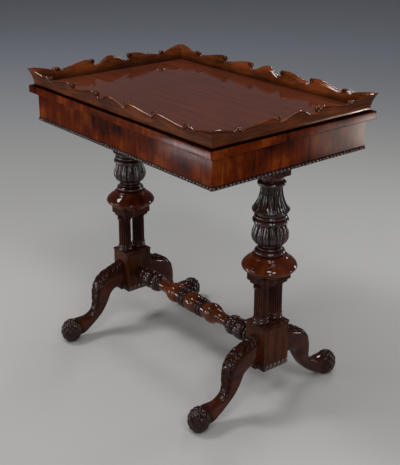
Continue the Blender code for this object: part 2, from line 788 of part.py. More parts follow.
def vase(length):
    """Starts beside the rings, swells, and draws out to a long thin neck."""
    shape = ((0.0, 0.72), (0.13, 0.95), (0.26, 1.0), (0.38, 0.8), (0.52, 0.36), (0.72, 0.06), (1.0, 0.0))
    return [(VASE_NECK_RADIUS + (VASE_RADIUS - VASE_NECK_RADIUS) * swell, length * t) for t, swell in shape]


def stretcher_profile():
    inner = [
        under(EGG_RADIUS, EGG_END_RADIUS, EGG_HALF_LENGTH, steps=3),
        half_round(EGG_END_RADIUS, INNER_RING_RADIUS, INNER_RING_LENGTH),
        half_round(EGG_END_RADIUS, OUTER_RING_RADIUS, OUTER_RING_LENGTH),
        band(VASE_ROOT_RADIUS, VASE_ROOT_LENGTH),
    ]
    outer = [
        half_round(VASE_NECK_RADIUS, FILLET_RADIUS, FILLET_LENGTH, steps=2),
        half_round(VASE_NECK_RADIUS, LOTUS_RADIUS, LOTUS_LENGTH, steps=6),
        half_round(BALL_NECK_RADIUS, BALL_RADIUS, BALL_LENGTH, steps=6),
        half_round(END_NECK_RADIUS, END_RING_RADIUS, END_RING_LENGTH),
        band(END_NECK_RADIUS, END_NECK_LENGTH),
    ]
    fixed = sum(member[-1][1] for member in inner + outer)
    outside, end = stacked([*inner, vase(stretcher_half - GAP - fixed), *outer], 0)
    tip = end - STRETCHER_TENON_LENGTH
    lower = outside + [(STRETCHER_TENON_RADIUS, end), (STRETCHER_TENON_RADIUS, tip), (0, tip)]
    upper = [(radius, -height) for radius, height in lower[:0:-1]]
    return upper + lower


def add_stretcher(blocks):
    place = (0, 0, STRETCHER_HEIGHT)
    stretcher = add_turned("stretcher", stretcher_profile(), place, turned_wood, SLENDER_SIDES)
    stretcher.rotation_euler.y = math.pi / 2
    reach = stretcher_half + STRETCHER_TENON_LENGTH + GAP
    clear = rod_profile(STRETCHER_TENON_RADIUS + GAP, -reach, reach)
    bore = add_turned_cutter("stretcher bore", clear, place, SLENDER_SIDES)
    bore.rotation_euler.y = math.pi / 2
    for block in blocks:
        boolean(block, bore)


def main():
    add_tray()
    add_top()
    leg_mesh = make_leg_mesh()
    blocks = []
    for side in SIDES:
        cap, block = add_pedestal(side, leg_mesh)
        blocks.append(block)
        add_bearer(side, cap)
        for end in ENDS:
            add_corner_block(side, end)
    add_stretcher(blocks)


main()
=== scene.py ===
"""Dresses the rosewood work table: carving, turning, gallery scrolls, beads and polished wood."""

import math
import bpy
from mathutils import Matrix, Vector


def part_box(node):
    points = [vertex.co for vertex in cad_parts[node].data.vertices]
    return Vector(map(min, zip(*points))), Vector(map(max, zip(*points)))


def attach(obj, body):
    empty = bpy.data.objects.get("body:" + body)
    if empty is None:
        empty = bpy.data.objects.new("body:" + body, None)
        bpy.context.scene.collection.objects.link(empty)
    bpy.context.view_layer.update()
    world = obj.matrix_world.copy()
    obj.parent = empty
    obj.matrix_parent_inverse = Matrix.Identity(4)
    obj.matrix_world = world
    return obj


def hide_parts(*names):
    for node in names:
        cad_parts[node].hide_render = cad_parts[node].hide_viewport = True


bl_info = {
    "name": "Rosewood Work Table",
    "version": (1, 0, 0),
    "blender": (4, 5, 0),
    "location": "View3D > Sidebar > Work Table",
    "description": "Models and polishes a carved work table around its packed frame",
    "category": "Object",
}

import bmesh
import bpy
from bpy.props import FloatProperty, FloatVectorProperty, IntProperty, PointerProperty
from bpy.types import Operator, Panel, PropertyGroup
from mathutils import Quaternion, Vector
from mathutils.kdtree import KDTree

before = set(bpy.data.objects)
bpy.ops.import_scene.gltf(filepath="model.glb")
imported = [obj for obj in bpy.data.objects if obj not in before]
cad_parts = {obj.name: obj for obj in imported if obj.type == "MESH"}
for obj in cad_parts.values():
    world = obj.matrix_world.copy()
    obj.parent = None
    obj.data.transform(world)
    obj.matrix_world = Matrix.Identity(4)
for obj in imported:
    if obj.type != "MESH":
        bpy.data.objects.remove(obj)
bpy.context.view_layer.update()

SIDES = ("left", "right")
ENDS = ("front", "back")
# How far a run made along the front is turned to lie on each side of the table
SIDE_TURNS = {"front": 0.0, "back": math.pi, "right": math.pi / 2, "left": -math.pi / 2}
# Points closer than this are one point
MERGE = 0.000002
# Gap between a piece and its seat
FIT = 0.0003
# Depth of carving at which the painted shade of a hollow is at its darkest, and the angle up to which carving
# is shaded smooth
FULL_HOLLOW = 0.003
CARVED_ANGLE = 60


def node_middle(node):
    low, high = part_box(node)
    return (low + high) / 2


# Levels and places that the frame gives

SHAFT_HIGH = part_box("column_shaft_right")[1].z
BUN_LOW, BUN_HIGH = (corner.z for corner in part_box("bun_right"))
PEDESTAL_X = node_middle("bun_right").x
TO_LEFT_PEDESTAL = (-2 * PEDESTAL_X, 0, 0)
GALLERY_LOW_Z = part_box("gallery_front")[0].z
BLOCK_LOW, BLOCK_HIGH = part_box("plinth_block_right")
LEG_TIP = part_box("leg_back_right")[1].y
STRETCHER_Z = node_middle("stretcher").z


# What a user can change

class WorkTableSizes(PropertyGroup):
    """Sizes and counts of the ornament"""

    bell_leaves: IntProperty(
        name="Bell leaves", description="Long leaves round the bell of each shaft", default=12, min=6
    )
    cup_lobes: IntProperty(
        name="Cup lobes", description="Lobes round the cup of each shaft", default=16, min=8
    )
    reeds: IntProperty(name="Reeds", description="Reeds round each colonette", default=18, min=6)
    lotus_lobes: IntProperty(
        name="Lotus lobes", description="Lobes round the stretcher's collars", default=12, min=6
    )
    bead_pitch: FloatProperty(
        name="Bead pitch", description="From one bead of the frieze moulding to the next",
        default=0.0108, unit="LENGTH",
    )
    gadroon_pitch: FloatProperty(
        name="Gadroon pitch", description="From one lobe of the plinth moulding to the next",
        default=0.0128, unit="LENGTH",
    )
    scroll_radius: FloatProperty(
        name="Scroll radius", description="Radius of the gallery's scroll eyes", default=0.0072, unit="LENGTH"
    )
    edge_round: FloatProperty(
        name="Edge rounding", description="Softening of the arrises of blocks and boards",
        default=0.0012, unit="LENGTH",
    )


def colour_property(label, words, default):
    return FloatVectorProperty(
        name=label, description=words, subtype="COLOR", size=3, min=0, max=1, default=default
    )


class WorkTableColours(PropertyGroup):
    """Colours of the woods and of the studio"""

    veneer_dark: colour_property(
        "Veneer streaks", "Darkest figure of the frieze veneer", (0.019, 0.0032, 0.0008)
    )
    veneer_mid: colour_property("Veneer", "Main colour of the frieze veneer", (0.063, 0.008, 0.0009))
    veneer_light: colour_property(
        "Veneer flames", "Brightest figure of the frieze veneer", (0.165, 0.033, 0.0036)
    )
    tray: colour_property("Tray floor", "Main colour of the tray's floor", (0.088, 0.021, 0.0105))
    gallery: colour_property("Gallery", "Main colour of the gallery", (0.09, 0.0205, 0.0042))
    carved: colour_property("Carving", "Colour of the dark carved wood", (0.024, 0.0068, 0.0042))
    polished: colour_property("Turning", "Colour of the red polished wood", (0.066, 0.012, 0.0028))
    block: colour_property("Plinth blocks", "Colour of the plain plinth blocks", (0.044, 0.0122, 0.0045))
    leg: colour_property("Legs", "Colour of the plain sides of the legs", (0.044, 0.0088, 0.0032))
    amber: colour_property("Stretcher", "Colour of the stretcher's plain turning", (0.08, 0.0185, 0.0048))
    secondary: colour_property("Secondary wood", "Colour of the hidden unpolished wood", (0.36, 0.22, 0.11))
    iron: colour_property("Screws", "Colour of the screw iron", (0.16, 0.15, 0.14))
    floor: colour_property("Floor", "Colour of the studio floor", (0.425, 0.42, 0.411))
    distance: colour_property("Distance", "Colour that the floor fades to far away", (0.46, 0.485, 0.55))


# Modelling by hand

def clear_selection():
    if bpy.context.mode != "OBJECT":
        bpy.ops.object.mode_set(mode="OBJECT")
    bpy.ops.object.select_all(action="DESELECT")


def open_piece(name):
    """Names the primitive that was just added and opens it for editing."""
    piece = bpy.context.active_object
    piece.name = name
    piece.data.name = name
    bpy.ops.object.mode_set(mode="EDIT")
    bpy.ops.mesh.select_all(action="SELECT")
    return piece


def close_piece(piece, sharp=40):
    bpy.ops.mesh.select_all(action="SELECT")
    bpy.ops.mesh.remove_doubles(threshold=MERGE)
    bpy.ops.mesh.normals_make_consistent(inside=False)
    bpy.ops.object.mode_set(mode="OBJECT")
    bpy.ops.object.shade_smooth_by_angle(angle=math.radians(sharp))
    return piece


def turn_piece(name, profile, centre, steps, along_x=False):
    """Draws a half outline of (radius, place along the axis) points and spins it round its axis."""
    def at(radius, place):
        if along_x:
            return Vector((place, centre[1] + radius, centre[2]))
        return Vector((centre[0] + radius, centre[1], place))

    clear_selection()
    bpy.ops.mesh.primitive_plane_add(size=1)
    piece = open_piece(name)
    bpy.ops.mesh.merge(type="COLLAPSE")
    bpy.ops.transform.translate(value=at(*profile[0]))
    for before, after in zip(profile, profile[1:]):
        bpy.ops.mesh.extrude_region_move(TRANSFORM_OT_translate={"value": at(*after) - at(*before)})
    bpy.ops.mesh.select_all(action="SELECT")
    axis = (1, 0, 0) if along_x else (0, 0, 1)
    bpy.ops.mesh.spin(steps=steps, angle=2 * math.pi, center=centre, axis=axis)
    return close_piece(piece)


def place_end(piece, ring, before):
    """Puts the corners of the selected end face on a ring, and returns where they then lie.

    Corners keep the order that they had on the ring before, if there was one.
    """
    shape = bmesh.from_edit_mesh(piece.data)
    face = next(face for face in shape.faces if face.select)
    corners = [loop.vert for loop in face.loops]
    if before:
        order = {place: k for k, place in enumerate(before)}
        corners.sort(key=lambda corner: order[tuple(corner.co)])
    for corner, point in zip(corners, ring):
        corner.co = point
    bmesh.update_edit_mesh(piece.data)
    return [tuple(corner.co) for corner in corners]


def loft_piece(name, rings, sharp=40):
    """Extrudes an end face from ring to ring. All rings have the same number of points."""
    clear_selection()
    bpy.ops.mesh.primitive_circle_add(vertices=len(rings[0]), radius=0.01, fill_type="NGON")
    piece = open_piece(name)
    places = place_end(piece, rings[0], None)
    for ring in rings[1:]:
        bpy.ops.mesh.extrude_region_move()
        places = place_end(piece, ring, places)
    return close_piece(piece, sharp)


def copy_piece(piece, name, move=(0, 0, 0), turn=0.0):
    """A copy with its own mesh, moved and then turned about the table's upright axis."""
    clear_selection()
    piece.select_set(True)
    bpy.context.view_layer.objects.active = piece
    bpy.ops.object.duplicate()
    copy = bpy.context.active_object
    copy.name = name
    copy.data.name = name
    copy.location = move
    bpy.ops.object.transform_apply(location=True, rotation=True, scale=True)
    copy.rotation_euler.z = turn
    bpy.ops.object.transform_apply(location=True, rotation=True, scale=True)
    return copy


def join_pieces(pieces, name):
    clear_selection()
    for piece in pieces:
        piece.select_set(True)
    bpy.context.view_layer.objects.active = pieces[0]
    bpy.ops.object.join()
    pieces[0].name = name
    pieces[0].data.name = name
    return pieces[0]


def add_attribute(piece, name, values):
    attribute = piece.data.attributes.new(name, "FLOAT", "POINT")
    attribute.data.foreach_set("value", values)


def add_even_marks(piece, marks):
    for name, value in marks.items():
        add_attribute(piece, name, [value] * len(piece.data.vertices))


def mark_rings(piece, rings, marks):
    """Gives each corner of a lofted piece the marks (attribute name: value) of its ring point."""
    tree = KDTree(len(marks))
    for index, point in enumerate(point for ring in rings for point in ring):
        tree.insert(point, index)
    tree.balance()
    found = [marks[tree.find(vertex.co)[1]] for vertex in piece.data.vertices]
    for name in marks[0]:
        add_attribute(piece, name, [entry[name] for entry in found])


def carve(piece, centre, cut, along_x=False):
    """Sinks a turned piece's surface by cut(angle, place, radius), and notes how deep each point lies."""
    depths = []
    for vertex in piece.data.vertices:
        out = vertex.co - Vector(centre)
        place = vertex.co.x if along_x else vertex.co.z
        across = Vector((0, out.y, out.z)) if along_x else Vector((out.x, out.y, 0))
        radius = across.length
        depth = 0.0
        if radius > MERGE:
            angle = math.atan2(across.z, across.y) if along_x else math.atan2(across.y, across.x)
            depth = cut(angle, place, radius)
            vertex.co -= across / radius * depth
        depths.append(max(0.0, depth))
    # Painted shade: the deeper a point is cut, the darker its colour is painted, up to FULL_HOLLOW
    add_attribute(piece, "hollow", [min(1.0, depth / FULL_HOLLOW) for depth in depths])
    bpy.ops.object.shade_smooth_by_angle(angle=math.radians(CARVED_ANGLE))


def settle(piece, body, nodes, finish):
    """Gives a finished piece its wood and its body, and hides the solids that it stands for."""
    piece.data.materials.clear()
    piece.data.materials.append(finish)
    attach(piece, body)
    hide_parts(*nodes)


def settle_pair(context, piece, node, finish):
    """Settles a piece of the right pedestal, and a copy of it on the left one."""
    other = copy_piece(piece, piece.name.replace("right", "left"), move=TO_LEFT_PEDESTAL)
    for each, side in ((piece, "right"), (other, "left")):
        settle(each, "table", [f"{node}_{side}"], finish_for(context, finish))


# Members of a turned outline: lists of (radius, drop below the member's top)

def band(radius, height):
    return [(radius, 0), (radius, height)]


def half_round(neck, belly, height, steps=9):
    angles = [math.pi * i / steps for i in range(steps + 1)]
    return [(neck + (belly - neck) * math.sin(a), height * (1 - math.cos(a)) / 2) for a in angles]


def under(belly, foot, height, steps=12):
    angles = [math.pi / 2 * i / steps for i in range(steps + 1)]
    return [(foot + (belly - foot) * math.cos(a), height * math.sin(a)) for a in angles]


def flare(top, lip, height, power, steps=28):
    shares = [i / steps for i in range(steps + 1)]
    return [(top + (lip - top) * t ** power, height * t) for t in shares]


def ease(top, belly, height, steps=14):
    shares = [i / steps for i in range(steps + 1)]
    return [(top + (belly - top) * (1 - math.cos(math.pi * t)) / 2, height * t) for t in shares]


def stacked(members, top):
    """(radius, height) points of the members one below another."""
    points = []
    level = top
    for member in members:
        for radius, drop in member:
            point = (radius, level - drop)
            if not points or math.dist(point, points[-1]) > MERGE:
                points.append(point)
        level -= member[-1][1]
    return points


def height_of(members):
    return sum(member[-1][1] for member in members)


def smooth_through(points, steps):
    """A curve through placed points (Catmull-Rom)."""
    ends = [2 * points[0] - points[1], *points, 2 * points[-1] - points[-2]]
    curve = []
    for a, b, c, d in zip(ends, ends[1:], ends[2:], ends[3:]):
        for i in range(steps):
            t = i / steps
            linear = (c - a) * t / 2
            square = (2 * a - 5 * b + 4 * c - d) * t * t / 2
            cube = (3 * b - a - 3 * c + d) * t ** 3 / 2
            curve.append(b + linear + square + cube)
    return curve + [points[-1]]


def rise(low, high, value):
    """0 below low, 1 above high, and a smooth step between."""
    t = min(1.0, max(0.0, (value - low) / (high - low)))
    return t * t * (3 - 2 * t)


def across_lobe(angle, count):
    """Where an angle lies across its lobe: 0 in the middle, 1 at the edges."""
    share = angle * count / (2 * math.pi) % 1.0
    return abs(2 * share - 1)


def rounded_oblong(length, depth, height, centre, corner, points=4):
    """Corner-rounded rectangle at a height."""
    ring = []
    for quarter in range(4):
        start = quarter * math.pi / 2
        sx = 1 if quarter in (0, 3) else -1
        sy = 1 if quarter in (0, 1) else -1
        for i in range(points + 1):
            a = start + math.pi / 2 * i / points
            ring.append((
                centre[0] + sx * (length / 2 - corner) + corner * math.cos(a),
                centre[1] + sy * (depth / 2 - corner) + corner * math.sin(a),
                height,
            ))
    return ring


def block_levels(low, high, rounding, steps=3):
    """(height, inset) pairs of a plain block whose upper and lower arrises are rounded."""
    turns = [math.pi / 2 * i / steps for i in range(steps + 1)]
    lower = [(low + rounding * (1 - math.sin(a)), rounding * (1 - math.cos(a))) for a in reversed(turns)]
    upper = [(high - rounding * (1 - math.sin(a)), rounding * (1 - math.cos(a))) for a in turns]
    return lower + upper


def block_piece(name, centre, length, depth, levels, corner):
    """A block with rounded corners, shaded by its larger faces so that flat sides reflect as flat."""
    rings = [
        rounded_oblong(length - 2 * inset, depth - 2 * inset, height, centre, corner)
        for height, inset in levels
    ]
    block = loft_piece(name, rings)
    weighted = block.modifiers.new("Flat faces", "WEIGHTED_NORMAL")
    weighted.keep_sharp = True
    bpy.ops.object.modifier_apply(modifier=weighted.name)
    return block


# Woods

PORE_COLOUR = (0.004, 0.0012, 0.0006, 1)
# Painted shade, laid into the hollows of carving and into the foot of the gallery's inner face
HOLLOW_SHADE_COLOUR = (0.0036, 0.0014, 0.001, 1)
# Painted shadow: colour of the dark band on the top board round the tray's foot
SHADOW_BAND_COLOUR = (0.006, 0.0022, 0.0012)
RUST_COLOUR = (0.2, 0.11, 0.06)


def add_node(tree, kind, inputs=None, **settings):
    node = tree.nodes.new(kind)
    for key, value in settings.items():
        setattr(node, key, value)
    for key, value in (inputs or {}).items():
        if isinstance(value, bpy.types.NodeSocket):
            tree.links.new(value, node.inputs[key])
        else:
            node.inputs[key].default_value = value
    return node


def ramp(tree, factor, stops):
    node = add_node(tree, "ShaderNodeValToRGB", {"Fac": factor})
    elements = node.color_ramp.elements
    while len(elements) < len(stops):
        elements.new(0.5)
    for element, (place, colour) in zip(elements, stops):
        element.position = place
        element.color = (*colour, 1)
    return node.outputs["Color"]


def mixed(tree, factor, first, second):
    node = tree.nodes.new("ShaderNodeMix")
    node.data_type = "RGBA"
    for socket, value in (("Factor_Float", factor), ("A_Color", first), ("B_Color", second)):
        target = next(entry for entry in node.inputs if entry.identifier == socket)
        if isinstance(value, bpy.types.NodeSocket):
            tree.links.new(value, target)
        else:
            target.default_value = value
    return next(entry for entry in node.outputs if entry.identifier == "Result_Color")


def shade(colour, factor):
    return tuple(min(1.0, channel * factor) for channel in colour)


def toned(tree, factor, colour, dark, light, low=0.38, high=0.62):
    """A colour in the middle of a factor, with a darker shade of it below and a lighter one above."""
    return ramp(tree, factor, [(low, shade(colour, dark)), (0.5, colour), (high, shade(colour, light))])


def mark_factor(tree, name):
    """How strongly a place of the piece is marked by an attribute."""
    return add_node(tree, "ShaderNodeAttribute", attribute_name=name).outputs["Fac"]


def start_finish(name, coat, coat_roughness=0.06):
    finish = bpy.data.materials.new(name)
    finish.use_nodes = True
    shader = finish.node_tree.nodes["Principled BSDF"]
    shader.inputs["Coat Weight"].default_value = coat
    shader.inputs["Coat Roughness"].default_value = coat_roughness
    shader.inputs["Specular IOR Level"].default_value = 0.0
    return finish, finish.node_tree, shader


def grain_factor(tree, stretch, wander, blotch, blotch_share):
    """Streaks along the grain, which wander a little, over larger cloudy figure. Runs from 0 to 1."""
    place = add_node(tree, "ShaderNodeTexCoord").outputs["Object"]
    drift = add_node(tree, "ShaderNodeTexNoise", {"Vector": place, "Scale": 9.0, "Detail": 2.0})
    centred = add_node(
        tree, "ShaderNodeVectorMath", {0: drift.outputs["Color"], 1: (0.5, 0.5, 0.5)}, operation="SUBTRACT"
    )
    pushed = add_node(
        tree, "ShaderNodeVectorMath",
        {0: centred.outputs[0], 1: (wander, wander, wander), 2: place}, operation="MULTIPLY_ADD",
    )
    stretched = add_node(tree, "ShaderNodeMapping", {"Vector": pushed.outputs[0], "Scale": stretch})
    streaks = add_node(
        tree, "ShaderNodeTexNoise",
        {"Vector": stretched.outputs[0], "Scale": 1.0, "Detail": 7.0, "Roughness": 0.62},
    )
    clouds = add_node(
        tree, "ShaderNodeTexNoise", {"Vector": pushed.outputs[0], "Scale": blotch, "Detail": 3.0}
    )
    blend = add_node(
        tree, "ShaderNodeMix",
        {"Factor": blotch_share, "A": streaks.outputs["Fac"], "B": clouds.outputs["Fac"]},
    )
    return blend.outputs[0], stretched.outputs[0]


def add_pores(tree, shader, colour, stretched, strength):
    """Short dark pores along the grain, with a faint bump. Carved places show tool marks too."""
    pores = add_node(
        tree, "ShaderNodeTexNoise", {"Vector": stretched, "Scale": 5.0, "Detail": 3.0, "Roughness": 0.7}
    )
    mask = add_node(
        tree, "ShaderNodeMapRange",
        {
            "Value": pores.outputs["Fac"], "From Min": 0.56, "From Max": 0.68,
            "To Min": 0.0, "To Max": strength,
        },
    )
    darker = mixed(tree, mask.outputs[0], colour, PORE_COLOUR)
    tree.links.new(darker, shader.inputs["Base Color"])
    bump = add_node(
        tree, "ShaderNodeBump", {"Height": pores.outputs["Fac"], "Strength": 0.03, "Distance": 0.0003}
    )
    place = add_node(tree, "ShaderNodeTexCoord").outputs["Object"]
    marks = add_node(tree, "ShaderNodeTexVoronoi", {"Vector": place, "Scale": 260.0}).outputs["Distance"]
    tooled = add_node(
        tree, "ShaderNodeBump",
        {
            "Height": marks, "Strength": mark_factor(tree, "tooled"), "Distance": 0.0011,
            "Normal": bump.outputs[0],
        },
    )
    tree.links.new(tooled.outputs[0], shader.inputs["Normal"])


def spread(tree, factor, low, high):
    """A value that runs from low to high with a factor."""
    return add_node(tree, "ShaderNodeMapRange", {"Value": factor, "To Min": low, "To Max": high}).outputs[0]


def vary(tree, shader, socket, factor, low, high):
    """Lets a value of the shader run from low to high with a factor."""
    tree.links.new(spread(tree, factor, low, high), shader.inputs[socket])


def darkened(tree, colour, carved):
    """Lays the dark of carved places over a wood, and painted shade darker still in their hollows. On the top
    board the carved mark is a painted shadow band.
    """
    dark = mixed(tree, mark_factor(tree, "carved"), colour, (*carved, 1))
    return mixed(tree, mark_factor(tree, "hollow"), dark, HOLLOW_SHADE_COLOUR)


def veneer_finish(colours):
    """Flame-figured veneer with its grain upright."""
    finish, tree, shader = start_finish("flame rosewood veneer", 0.1, 0.12)
    factor, stretched = grain_factor(tree, (75, 75, 8), 0.035, 16, 0.56)
    wood = ramp(tree, factor, [
        (0.38, colours.veneer_dark),
        (0.46, colours.veneer_mid),
        (0.535, shade(colours.veneer_mid, 1.45)),
        (0.63, colours.veneer_light),
    ])
    # Painted shadow: the top board's margin, marked as carved, takes the shadow band's colour
    wood = darkened(tree, wood, SHADOW_BAND_COLOUR)
    add_pores(tree, shader, wood, stretched, 0.3)
    vary(tree, shader, "Roughness", factor, 0.3, 0.42)
    return finish


def tray_finish(colours):
    """Even purple-brown board with a long straight grain and a high polish."""
    finish, tree, shader = start_finish("tray floor rosewood", 0.9, 0.06)
    factor, stretched = grain_factor(tree, (5, 90, 90), 0.012, 4, 0.3)
    wood = toned(tree, factor, colours.tray, 0.7, 1.3, 0.36, 0.64)
    add_pores(tree, shader, wood, stretched, 0.25)
    vary(tree, shader, "Roughness", factor, 0.25, 0.35)
    return finish


def gallery_finish(colours):
    """Cross-grained wood, polished most where hands rub it."""
    coat = 0.26
    finish, tree, shader = start_finish("gallery rosewood", coat, 0.07)
    factor, stretched = grain_factor(tree, (16, 16, 120), 0.02, 9, 0.45)
    wood = toned(tree, factor, colours.gallery, 0.4, 2.1, 0.36, 0.64)
    # Painted shade at the foot of the inner face and in the rings of the scroll eyes
    wood = darkened(tree, wood, colours.carved)
    add_pores(tree, shader, wood, stretched, 0.35)
    vary(tree, shader, "Roughness", factor, 0.28, 0.4)
    vary(tree, shader, "Coat Weight", mark_factor(tree, "bright"), coat, 1.0)
    return finish


def dark_finish(name, colour, coat, coat_roughness, sheen=0.0):
    """Near-black rosewood. Hollows of the carving are painted darker as shade, and dust and old polish make
    them duller.
    """
    finish, tree, shader = start_finish(name, coat, coat_roughness)
    shader.inputs["Specular IOR Level"].default_value = sheen
    factor, stretched = grain_factor(tree, (70, 70, 12), 0.015, 14, 0.35)
    wood = toned(tree, factor, colour, 0.5, 2.2)
    wood = darkened(tree, wood, colour)
    add_pores(tree, shader, wood, stretched, 0.4)
    hollow = mark_factor(tree, "hollow")
    vary(tree, shader, "Roughness", hollow, 0.3, 0.55)
    polish = spread(tree, mark_factor(tree, "bright"), coat, 1.0)
    clean = spread(tree, hollow, 1.0, 0.3)
    left = add_node(tree, "ShaderNodeMath", {0: polish, 1: clean}, operation="MULTIPLY").outputs[0]
    tree.links.new(left, shader.inputs["Coat Weight"])
    return finish


def polished_wood(name, colour, carved, coat, coat_roughness, stretch):
    """Polished turning or shaping, with the carved places of a piece left dark."""
    finish, tree, shader = start_finish(name, coat, coat_roughness)
    factor, stretched = grain_factor(tree, stretch, 0.02, 10, 0.4)
    wood = toned(tree, factor, colour, 0.5, 1.8)
    wood = darkened(tree, wood, carved)
    add_pores(tree, shader, wood, stretched, 0.35)
    mark = mark_factor(tree, "carved")
    vary(tree, shader, "Roughness", mark, 0.22, 0.4)
    vary(tree, shader, "Coat Roughness", mark, coat_roughness, 0.18)
    vary(tree, shader, "Coat Weight", mark_factor(tree, "dull"), coat, 0.4 * coat)
    return finish


def secondary_finish(colours):
    """Pale wood of the hidden rails and blocks, left as it was planed."""
    finish, tree, shader = start_finish("unpolished secondary wood", 0.0)
    factor, stretched = grain_factor(tree, (70, 8, 70), 0.02, 6, 0.3)
    wood = ramp(tree, factor, [
        (0.3, shade(colours.secondary, 0.6)),
        (0.55, colours.secondary),
        (0.8, shade(colours.secondary, 1.25)),
    ])
    add_pores(tree, shader, wood, stretched, 0.3)
    vary(tree, shader, "Roughness", factor, 0.65, 0.85)
    return finish


def iron_finish(colours):
    """Old screw iron with spots of rust."""
    finish, tree, shader = start_finish("screw iron", 0.0)
    shader.inputs["Metallic"].default_value = 1.0
    place = add_node(tree, "ShaderNodeTexCoord").outputs["Object"]
    spots = add_node(tree, "ShaderNodeTexNoise", {"Vector": place, "Scale": 260.0, "Detail": 4.0})
    rust = spots.outputs["Fac"]
    tone = ramp(tree, rust, [(0.35, shade(colours.iron, 0.45)), (0.6, colours.iron), (0.8, RUST_COLOUR)])
    tree.links.new(tone, shader.inputs["Base Color"])
    vary(tree, shader, "Roughness", rust, 0.35, 0.7)
    return finish


FINISHES = {
    "veneer": veneer_finish,
    "tray": tray_finish,
    "gallery": gallery_finish,
    "carved": lambda wood: dark_finish("dark carved rosewood", wood.carved, 1.0, 0.1, 0.1),
    "reeded": lambda wood: dark_finish("dark plain rosewood", shade(wood.carved, 1.3), 0.22, 0.16),
    "beaded": lambda wood: dark_finish("dark beaded rosewood", shade(wood.carved, 1.6), 1.0, 0.22, 0.2),
    "polished": lambda wood: polished_wood(
        "red polished rosewood", wood.polished, wood.carved, 0.6, 0.08, (60, 60, 14)
    ),
    "leg": lambda wood: polished_wood(
        "dark red polished rosewood", wood.leg, wood.carved, 0.55, 0.08, (50, 14, 50)
    ),
    "block": lambda wood: polished_wood(
        "brown polished rosewood", wood.block, wood.carved, 0.3, 0.14, (60, 60, 14)
    ),
    "stretcher": lambda wood: polished_wood(
        "amber turned rosewood", wood.amber, wood.carved, 0.6, 0.06, (10, 80, 80)
    ),
    "secondary": secondary_finish,
    "iron": iron_finish,
}
made_finishes = {}


def finish_for(context, name):
    if name not in made_finishes:
        made_finishes[name] = FINISHES[name](context.scene.work_table_colours)
    return made_finishes[name]


# Studio

FLOOR_RADIUS = 20
# Distance from the table over which the floor's colour changes
FADE_REACH = 6.0
AIR_COLOUR = (0.78, 0.8, 0.84, 1)
AIR_STRENGTH = 0.12
CAMERA_PLACE = (1.6986, -1.3609, 1.2617)
CAMERA_AZIMUTH = math.radians(50.908)
CAMERA_ELEVATION = math.radians(22.598)
CAMERA_LENS = 72.38
CAMERA_SENSOR = 36
# Place, aim, size and power of each lamp, and for some a tint and the direction of their first side
LAMPS = {
    "key_softbox": ((-1.75, -1.6, 3.5), (0, 0, 0.3), (1.0, 1.0), 56),
    "near_softbox": ((1.9, -1.5, 3.6), (0.2, 0, 0.4), (0.8, 0.8), 34),
    "top_softbox": ((0.0, 0.0, 3.8), (0, 0, 0.3), (2.0, 2.0), 26),
    "side_softbox": ((2.5, -0.8, 2.4), (0.2, 0, 0.4), (0.5, 0.5), 20),
    "near_strip": ((2.05, -1.47, 0.95), (0.2, 0, 0.5), (0.14, 1.1), 8),
    "left_strip": ((-2.4, -2.2, 0.43), (0.2, 0, 0.4), (0.6, 0.54), 13),
    "fill_softbox": ((-0.9, -2.6, 0.9), (0, 0, 0.2), (1.2, 1.0), 11),
    "far_strip": ((0.5, 2.1, 0.5), (0.2, 0, 0.5), (0.25, 0.7), 7),
    "back_strip": ((-0.64, 1.65, 2.11), (0.15, 0.2, 0.7), (1.25, 0.1), 11, (1, 1, 1), (0.92, -0.21, 0.75)),
    "right_card": ((1.62, 1.534, 0.1), (0.34, 0.13, 0.66), (0.18, 0.17), 1.2, (1, 0.86, 0.78)),
    "right_edge_card": ((1.62, 1.735, 0.1), (0.34, 0.22, 0.66), (0.08, 0.17), 3.6, (1, 0.84, 0.75)),
    "left_card": ((-1.04, -1.3, 0.155), (-1.04, 0, 0.155), (0.3, 0.035), 2.8, (1, 0.9, 0.92)),
}


